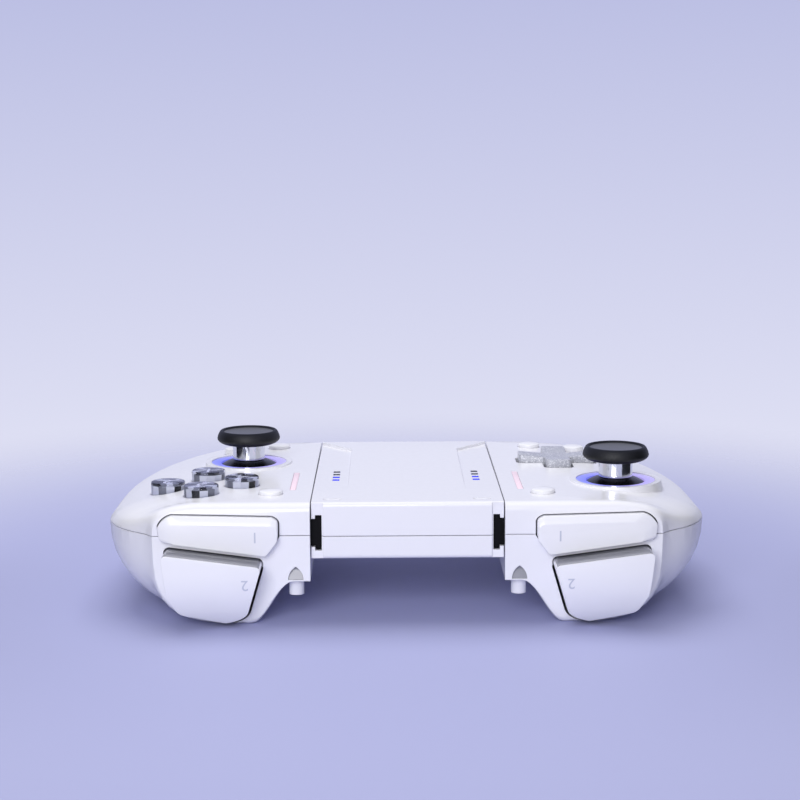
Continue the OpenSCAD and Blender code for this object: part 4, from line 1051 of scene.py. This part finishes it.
class GAMEPAD_OT_stage(bpy.types.Operator):
    """Floor, backdrop, lamps and camera"""

    bl_idname = "gamepad.stage"
    bl_label = "Stage"

    def floor(self, tints):
        """A pale, matt floor that fades out into the backdrop."""
        bpy.ops.object.select_all(action="DESELECT")
        bpy.ops.mesh.primitive_circle_add(vertices=64, radius=FLOOR_R, fill_type="NGON")
        piece = bpy.context.active_object
        piece.name = "floor"
        material, tree, shader = new_finish("floor")
        place = add_node(tree, "ShaderNodeTexCoord")
        reach = add_node(tree, "ShaderNodeVectorMath", {0: place.outputs["Object"]},
                         operation="LENGTH")
        fade = add_node(tree, "ShaderNodeMapRange",
                        {"Value": reach.outputs["Value"], "From Min": FADE_FROM,
                         "From Max": FADE_TO, "To Min": 1.0, "To Max": 0.0},
                        interpolation_type="SMOOTHSTEP")
        wire(tree, shader, {"Base Color": tints.floor, "Roughness": 0.6, "IOR": 1.4,
                            "Alpha": fade.outputs["Result"]})
        piece.data.materials.append(material)

    def backdrop(self, scene, tints):
        """A pale sky: plain light for the pad, and a soft gradient for the camera and mirrors."""
        world = bpy.data.worlds.new("studio")
        scene.world = world
        world.use_nodes = True
        tree = world.node_tree
        tree.nodes.clear()
        place = add_node(tree, "ShaderNodeTexCoord")
        axes = add_node(tree, "ShaderNodeSeparateXYZ", {"Vector": place.outputs["Generated"]})
        rise = add_node(tree, "ShaderNodeMapRange",
                        {"Value": axes.outputs["Z"], "From Min": -0.4, "From Max": 0.12})
        ramp = add_node(tree, "ShaderNodeValToRGB", {"Fac": rise.outputs["Result"]})
        stops = ramp.color_ramp.elements
        stops[0].position = 0.05
        stops[0].color = tints.floor
        stops[1].position = 1.0
        stops[1].color = tints.sky
        haze = stops.new(0.36)
        haze.color = tints.haze
        path = add_node(tree, "ShaderNodeLightPath")
        seen = add_node(tree, "ShaderNodeMath",
                        {0: path.outputs["Is Camera Ray"], 1: path.outputs["Is Glossy Ray"]},
                        operation="MAXIMUM")
        through = add_node(tree, "ShaderNodeMath",
                           {0: seen.outputs["Value"], 1: path.outputs["Is Transmission Ray"]},
                           operation="MAXIMUM")
        plain = add_node(tree, "ShaderNodeBackground",
                         {"Color": tints.lamp_room, "Strength": 0.45})
        shown = add_node(tree, "ShaderNodeBackground",
                         {"Color": ramp.outputs["Color"], "Strength": 1.0})
        mix = add_node(tree, "ShaderNodeMixShader",
                       {"Fac": through.outputs["Value"], 1: plain.outputs["Background"],
                        2: shown.outputs["Background"]})
        add_node(tree, "ShaderNodeOutputWorld", {"Surface": mix.outputs["Shader"]})

    def lamp(self, name, place, aim, size, power, gloss):
        """A soft square lamp that looks at a point, and may show in what is glossy."""
        bpy.ops.object.light_add(type="AREA", location=place)
        lamp = bpy.context.active_object
        lamp.name = name
        lamp.data.size = size
        lamp.data.energy = power
        lamp.visible_glossy = gloss
        lamp.rotation_euler = (Vector(aim) - Vector(place)).to_track_quat("-Z", "Y").to_euler()

    def flags(self, tints):
        """Two dark cards close beside the pad, which shade its flanks and show in the chrome."""
        x, y, z = CARD_PLACE
        material, tree, shader = new_finish("flag")
        wire(tree, shader, {"Base Color": tints.flag, "Roughness": 0.9})
        for side in (-1, 1):
            bpy.ops.object.select_all(action="DESELECT")
            bpy.ops.mesh.primitive_plane_add(size=1, location=(side * x, y, z),
                                             rotation=(0, math.pi / 2, 0))
            card = bpy.context.active_object
            card.name = "flag_left" if side > 0 else "flag_right"
            card.scale = CARD_SIZE
            card.data.materials.append(material)
            card.visible_camera = card.visible_shadow = card.visible_transmission = False

    def camera(self, scene):
        """The camera where the photograph was taken from."""
        bpy.ops.object.camera_add()
        camera = bpy.context.active_object
        camera.name = "camera"
        camera.data.sensor_width = SENSOR
        camera.data.lens = LENS
        camera.data.clip_start = 0.01
        yaw, pitch, roll = (math.radians(a) for a in CAMERA_TURN)
        across, back, up = CAMERA_PLACE
        place = Vector((across, SHOULDER_Y - back, TOP_Z + up))
        camera.matrix_world = (Matrix.Translation(place) @ Matrix.Rotation(-yaw, 4, "Z")
                               @ Matrix.Rotation(math.pi / 2 - pitch, 4, "X")
                               @ Matrix.Rotation(-roll, 4, "Z"))
        scene.camera = camera

    def execute(self, context):
        scene = context.scene
        tints = scene.pad_colours
        scene.view_settings.view_transform = "Standard"
        self.floor(tints)
        self.backdrop(scene, tints)
        self.flags(tints)
        self.lamp("key", (-0.05, 0.2, 0.75), AIM, 0.6, 3.7, False)
        self.lamp("front", (-0.18, -0.8, 0.34), AIM, 0.45, 4.3, True)
        self.camera(scene)
        return {"FINISHED"}


PIECES = (GAMEPAD_OT_insides, GAMEPAD_OT_shells, GAMEPAD_OT_bridge, GAMEPAD_OT_bumpers,
          GAMEPAD_OT_triggers, GAMEPAD_OT_round_buttons, GAMEPAD_OT_sticks, GAMEPAD_OT_lights,
          GAMEPAD_OT_rails, GAMEPAD_OT_face_buttons, GAMEPAD_OT_direction_pad, GAMEPAD_OT_marks,
          GAMEPAD_OT_stage)


class GAMEPAD_PT_looks(bpy.types.Panel):
    """Lists the pieces of the gamepad"""

    bl_idname = "GAMEPAD_PT_looks"
    bl_label = "Gamepad"
    bl_space_type = "VIEW_3D"
    bl_region_type = "UI"
    bl_category = "Gamepad"

    def draw(self, context):
        for piece in PIECES:
            self.layout.operator(piece.bl_idname)


CLASSES = (PadSizes, PadColours, *PIECES, GAMEPAD_PT_looks)


def register():
    """Register the classes and their settings."""
    for item in CLASSES:
        bpy.utils.register_class(item)
    bpy.types.Scene.pad_sizes = PointerProperty(type=PadSizes)
    bpy.types.Scene.pad_colours = PointerProperty(type=PadColours)


def unregister():
    """Remove the settings and the classes."""
    del bpy.types.Scene.pad_colours
    del bpy.types.Scene.pad_sizes
    for item in reversed(CLASSES):
        bpy.utils.unregister_class(item)


def main():
    """Build every piece."""
    register()
    for piece in PIECES:
        group, name = piece.bl_idname.split(".")
        getattr(getattr(bpy.ops, group), name)()


if __name__ == "__main__":
    main()
